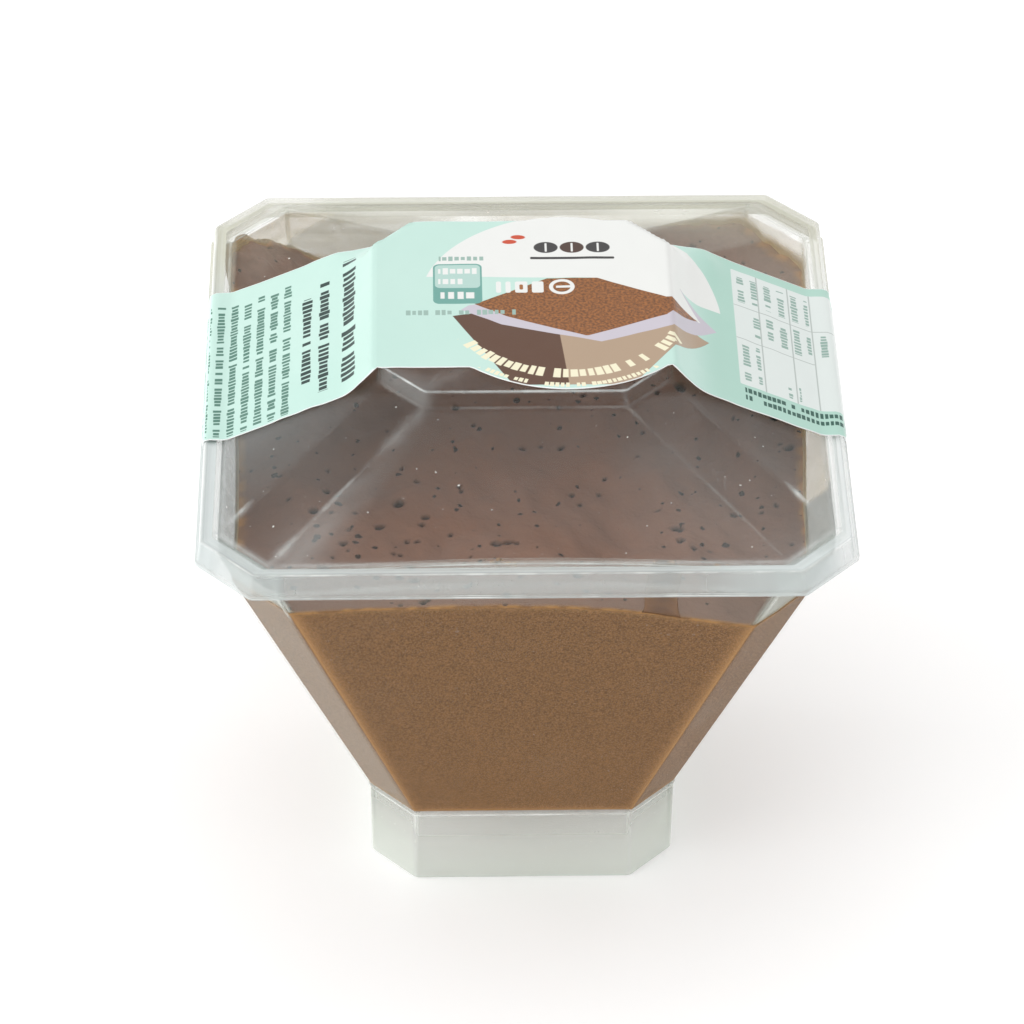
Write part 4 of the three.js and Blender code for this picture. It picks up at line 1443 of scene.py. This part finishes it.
def scatter_tree():
    """Drops small irregular blobs on a surface. Size, turn and place are all seeded."""
    name = "Scatter Bits"
    if name in bpy.data.node_groups:
        return bpy.data.node_groups[name]
    tree = bpy.data.node_groups.new(name, "GeometryNodeTree")
    tree.interface.new_socket("Geometry", in_out="INPUT", socket_type="NodeSocketGeometry")
    for label, kind, value in (
            ("Density", "NodeSocketFloat", 1.0e4), ("Smallest", "NodeSocketFloat", 0.1 * MM),
            ("Largest", "NodeSocketFloat", 0.3 * MM), ("Flatness", "NodeSocketFloat", 0.4),
            ("Lumpiness", "NodeSocketFloat", 0.8), ("Seed", "NodeSocketInt", 1)):
        tree.interface.new_socket(label, in_out="INPUT", socket_type=kind).default_value = value
    tree.interface.new_socket("Material", in_out="INPUT", socket_type="NodeSocketMaterial")
    tree.interface.new_socket("Geometry", in_out="OUTPUT", socket_type="NodeSocketGeometry")
    nodes = Nodes(tree)
    entry = nodes.add("NodeGroupInput").outputs
    points = nodes.add("GeometryNodeDistributePointsOnFaces", {
        "Mesh": entry["Geometry"], "Density": entry["Density"], "Seed": entry["Seed"]}).outputs
    ball = nodes.add("GeometryNodeMeshIcoSphere", {"Radius": 1.0, "Subdivisions": 3}).outputs["Mesh"]
    at = nodes.add("GeometryNodeInputPosition").outputs[0]
    bumps = nodes.add("ShaderNodeTexNoise", {"Vector": at, "Scale": 1.4, "Detail": 2.0}).outputs["Color"]
    bumps = nodes.add("ShaderNodeVectorMath", {0: bumps, 1: (0.5, 0.5, 0.5)}, operation="SUBTRACT").outputs[0]
    bumps = nodes.add("ShaderNodeVectorMath", {0: bumps, "Scale": entry["Lumpiness"]}, operation="SCALE")
    lumpy = nodes.add("GeometryNodeSetPosition", {"Geometry": ball, "Offset": bumps.outputs[0]}).outputs[0]
    lumpy = nodes.add("GeometryNodeSetShadeSmooth", {"Geometry": lumpy}).outputs[0]
    random = nodes.add("FunctionNodeRandomValue", {2: 0.0, 3: 1.0, 8: entry["Seed"]}).outputs[1]
    mostly_small = nodes.times(random, random)
    span = nodes.minus(entry["Largest"], entry["Smallest"])
    size = nodes.plus(entry["Smallest"], nodes.times(mostly_small, span))
    stretch = nodes.add("FunctionNodeRandomValue", {2: 0.7, 3: 1.5, 8: 71}).outputs[1]
    scale = nodes.add("ShaderNodeCombineXYZ", {
        0: nodes.times(size, stretch), 1: size,
        2: nodes.times(size, entry["Flatness"])}).outputs[0]
    spin = nodes.add("FunctionNodeRandomValue", {2: 0.0, 3: 2 * math.pi, 8: 83}).outputs[1]
    spin = nodes.add("ShaderNodeCombineXYZ", {2: spin}).outputs[0]
    turned = nodes.add("FunctionNodeRotateRotation", {
        "Rotation": points["Rotation"], "Rotate By": spin}, rotation_space="LOCAL").outputs[0]
    placed = nodes.add("GeometryNodeInstanceOnPoints", {
        "Points": points["Points"], "Instance": lumpy, "Rotation": turned, "Scale": scale}).outputs[0]
    real = nodes.add("GeometryNodeRealizeInstances", {"Geometry": placed}).outputs[0]
    done = nodes.add("GeometryNodeSetMaterial", {
        "Geometry": real, "Material": entry["Material"]}).outputs[0]
    nodes.add("NodeGroupOutput", {"Geometry": done})
    return tree


def scatter_piece(name, patches, values):
    """Scatters on patches (grids of points) and keeps the finished mesh as one piece."""
    vertices, faces = [], []
    for grid in patches:
        rows, columns = grid.shape[:2]
        faces += list(grid_faces(rows, columns, closed=False) + sum(len(v) for v in vertices))
        vertices.append(grid.reshape(-1, 3))
    mesh = bpy.data.meshes.new(name + "_carrier")
    mesh.from_pydata(np.vstack(vertices).tolist(), [], [tuple(int(k) for k in f) for f in faces])
    carrier = link_object(name + "_carrier", mesh)
    tree = scatter_tree()
    modifier = carrier.modifiers.new("scatter", "NODES")
    modifier.node_group = tree
    for item in tree.interface.items_tree:
        if item.in_out == "INPUT" and item.name in values:
            modifier[item.identifier] = values[item.name]
    carrier.update_tag()
    graph = bpy.context.evaluated_depsgraph_get()
    finished = bpy.data.meshes.new_from_object(carrier.evaluated_get(graph))
    finished.name = name
    bpy.data.objects.remove(carrier)
    bpy.data.meshes.remove(mesh)
    if not finished.polygons:
        raise RuntimeError(f"{name}: nothing was scattered")
    piece = link_object(name, finished)
    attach(piece, BODY)
    return piece


def bit_material(name, tint, dark, roughness):
    """Small bits with an uneven colour and a soft sheen."""
    material, nodes, shader = new_material(name)
    place = place_of(nodes)
    shade = nodes.span(nodes.noise(place, 900.0, 3.0), 0.35, 0.65)
    height = nodes.noise(place, 4000.0, 2.0)
    bump = nodes.bump(0.4, 0.05 * MM, height)
    wire(shader, {"Base Color": nodes.blend(shade, tint, dark), "Normal": bump, "Roughness": roughness})
    return material


def build_bits(mousse, pot):
    """White specks on the lid as painted glints, bubbles against the wall and scraps under the rim."""
    corners = [inset(DOME_BASE, 0.6 * MM), inset(DOME_TOP, -0.6 * MM)]
    shapes = [outline(level, 0.0, 8, 2)[0] for level in corners]
    dome = [at_height(xy, level.z) for xy, level in zip(shapes, corners)]
    dome = np.array([row[list(range(len(row))) + [0]] for row in dome])
    # Painted highlights: pale specks scattered over the dome stand in for small glints
    glint_specks = bit_material("glint specks", colour(236, 236, 232), colour(196, 190, 182), 0.6)
    scatter_piece("lid_specks", [dome], {
        "Density": 2.6e4, "Smallest": 0.04 * MM, "Largest": 0.13 * MM, "Flatness": 0.35,
        "Lumpiness": 0.9, "Seed": 4, "Material": glint_specks})

    into_wall = pot.cup_wall - 0.26 * MM
    bubble = bit_material("wall bubbles", rgba(mousse.side, 1.15), rgba(mousse.side, 0.88), 0.4)
    heights = np.linspace(55 * MM, 60.8 * MM, 9)
    turns = np.linspace(0, 2 * math.pi, 161)
    walls = wall_grid(into_wall, turns, heights, "round")
    front = wall_grid(into_wall, np.linspace(-30 * MM, 30 * MM, 31), heights, "front")
    behind, right = np.degrees(turns) < 217, np.degrees(turns) > 315
    scatter_piece("wall_bubbles", [walls[:, behind], walls[:, right], front], {
        "Density": 0.7e5, "Smallest": 0.07 * MM, "Largest": 0.26 * MM, "Flatness": 0.12,
        "Lumpiness": 0.35, "Seed": 9, "Material": bubble})

    scrap = bit_material("mousse scraps", rgba(mousse.fringe), rgba(mousse.side, 0.8), 0.45)
    high = np.linspace(71.9 * MM, 72.9 * MM, 3)
    patches = [wall_grid(pot.cup_wall, np.linspace(a * MM, b * MM, 9), high, "front")
               for a, b in ((-6.0, -1.2), (16.0, 19.5), (24.5, 26.5))]
    scatter_piece("rim_scraps", patches, {
        "Density": 2.2e6, "Smallest": 0.12 * MM, "Largest": 0.42 * MM, "Flatness": 0.5,
        "Lumpiness": 1.1, "Seed": 2, "Material": scrap})


# ---- Stage --------------------------------------------------------------------------------

def floor_material(tint):
    """Plain pale floor with a very faint unevenness."""
    material, nodes, shader = new_material("studio floor")
    wash = nodes.noise(place_of(nodes), 3.0, 2.0)
    paler = tuple(min(1.0, c * 1.01) for c in tint[:3]) + (1.0,)
    wire(shader, {"Base Color": nodes.blend(wash, tint, paler), "Roughness": 0.9, "Specular IOR Level": 0.1,
                  "Emission Color": tint, "Emission Strength": 0.11})
    return material


def soft_box(name, place, target, size, power):
    """A square softbox that stands at a place and faces a target."""
    lamp = bpy.data.lights.new(name, "AREA")
    lamp.shape = "SQUARE"
    lamp.size = size
    lamp.energy = power
    aim = Vector(target) - Vector(place)
    turn = aim.to_track_quat("-Z", "Y").to_matrix().to_4x4()
    link_object(name, lamp).matrix_world = Matrix.Translation(place) @ turn


def build_stage(settings):
    """A plain pale floor, a white room, two softboxes and the camera."""
    scene = bpy.context.scene
    scene.view_settings.view_transform = "Standard"
    scene.cycles.transparent_max_bounces = 24  # enough for all the layers of clear plastic in line
    reach, pot_middle = 3.0, (0, 0, 0.05)
    mesh = bpy.data.meshes.new("studio_floor")
    mesh.from_pydata([(-reach, -reach, 0), (reach, -reach, 0), (reach, reach, 0), (-reach, reach, 0)], [],
                     [(0, 1, 2, 3)])
    mesh.materials.append(floor_material(rgba(settings.floor)))
    ground = link_object("studio_floor", mesh)

    world = bpy.data.worlds.new("white room")
    world.use_nodes = True
    background = world.node_tree.nodes["Background"]
    background.inputs["Color"].default_value = (1.0, 1.0, 1.0, 1.0)
    background.inputs["Strength"].default_value = settings.surroundings
    scene.world = world
    soft_box("key_light", (-1.3, -0.3, 0.6), pot_middle, 1.8, settings.key)
    soft_box("top_light", (0.1, 0.45, 1.4), pot_middle, 0.9, settings.top_light)

    azimuth, elevation = settings.azimuth, settings.elevation
    forward = Vector((math.sin(azimuth) * math.cos(elevation), math.cos(azimuth) * math.cos(elevation),
                      -math.sin(elevation)))
    level_right = Vector((math.cos(azimuth), -math.sin(azimuth), 0))
    level_up = level_right.cross(forward)
    right = level_right * math.cos(settings.roll) + level_up * math.sin(settings.roll)
    up = right.cross(forward)
    turn = Matrix((right, up, -forward)).transposed().to_4x4()
    view = bpy.data.cameras.new("product_camera")
    view.lens = settings.lens
    view.sensor_width = 36.0
    view.clip_start, view.clip_end = 0.02, 30.0
    camera = link_object("product_camera", view)
    camera.matrix_world = Matrix.Translation(settings.camera_place) @ turn
    scene.camera = camera


# ---- Add-on -------------------------------------------------------------------------------

class MOUSSEPOT_OT_cup(bpy.types.Operator):
    """Build the clear flared pot with its hollow foot"""
    bl_idname = "moussepot.cup"
    bl_label = "Pot"

    def execute(self, context):
        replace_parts(build_cup(context.scene.mousse_pot), "cup")
        return {"FINISHED"}


class MOUSSEPOT_OT_mousse(bpy.types.Operator):
    """Fill the pot with chocolate mousse"""
    bl_idname = "moussepot.mousse"
    bl_label = "Mousse"

    def execute(self, context):
        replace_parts(build_mousse(context.scene.mousse_filling, context.scene.mousse_pot.cup_wall), "mousse")
        return {"FINISHED"}


class MOUSSEPOT_OT_residue(bpy.types.Operator):
    """Add the smear and the thin film on the inside of the wall"""
    bl_idname = "moussepot.residue"
    bl_label = "Residue"

    def execute(self, context):
        build_smear(context.scene.mousse_filling, context.scene.mousse_pot.cup_wall)
        build_film(context.scene.mousse_filling, context.scene.mousse_pot.cup_wall)
        return {"FINISHED"}


class MOUSSEPOT_OT_lid(bpy.types.Operator):
    """Build the domed push-on lid"""
    bl_idname = "moussepot.lid"
    bl_label = "Lid"

    def execute(self, context):
        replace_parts(build_lid(context.scene.mousse_pot), "lid")
        return {"FINISHED"}


class MOUSSEPOT_OT_label(bpy.types.Operator):
    """Drape the printed label band over the lid"""
    bl_idname = "moussepot.label"
    bl_label = "Label"

    def execute(self, context):
        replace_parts(build_label(context.scene.mousse_label), "label")
        return {"FINISHED"}


class MOUSSEPOT_OT_bits(bpy.types.Operator):
    """Scatter white specks on the lid as painted glints, wall bubbles and scraps of mousse"""
    bl_idname = "moussepot.bits"
    bl_label = "Specks and Scraps"

    def execute(self, context):
        build_bits(context.scene.mousse_filling, context.scene.mousse_pot)
        return {"FINISHED"}


class MOUSSEPOT_OT_stage(bpy.types.Operator):
    """Set up the floor, the lights and the camera"""
    bl_idname = "moussepot.stage"
    bl_label = "Stage"

    def execute(self, context):
        build_stage(context.scene.mousse_stage)
        return {"FINISHED"}


STEPS = ("cup", "mousse", "residue", "lid", "label", "bits", "stage")
SETTINGS = {
    "mousse_pot": PotSettings, "mousse_filling": MousseSettings, "mousse_label": LabelSettings,
    "mousse_stage": StageSettings,
}


class MOUSSEPOT_PT_panel(bpy.types.Panel):
    """Lists the settings and the steps"""
    bl_idname = "MOUSSEPOT_PT_panel"
    bl_label = "Mousse Pot"
    bl_space_type = "VIEW_3D"
    bl_region_type = "UI"
    bl_category = "Mousse Pot"

    def draw(self, context):
        for key, kind in SETTINGS.items():
            box = self.layout.box()
            for field in kind.__annotations__:
                box.prop(getattr(context.scene, key), field)
        for step in STEPS:
            self.layout.operator(f"moussepot.{step}")


CLASSES = (
    *SETTINGS.values(), MOUSSEPOT_OT_cup, MOUSSEPOT_OT_mousse, MOUSSEPOT_OT_residue, MOUSSEPOT_OT_lid,
    MOUSSEPOT_OT_label, MOUSSEPOT_OT_bits, MOUSSEPOT_OT_stage, MOUSSEPOT_PT_panel)


def register():
    for kind in CLASSES:
        bpy.utils.register_class(kind)
    for key, kind in SETTINGS.items():
        setattr(bpy.types.Scene, key, bpy.props.PointerProperty(type=kind))


def unregister():
    for key in SETTINGS:
        delattr(bpy.types.Scene, key)
    for kind in reversed(CLASSES):
        bpy.utils.unregister_class(kind)


def main():
    """Builds everything in order."""
    register()
    for step in STEPS:
        getattr(bpy.ops.moussepot, step)()


if __name__ == "__main__":
    main()
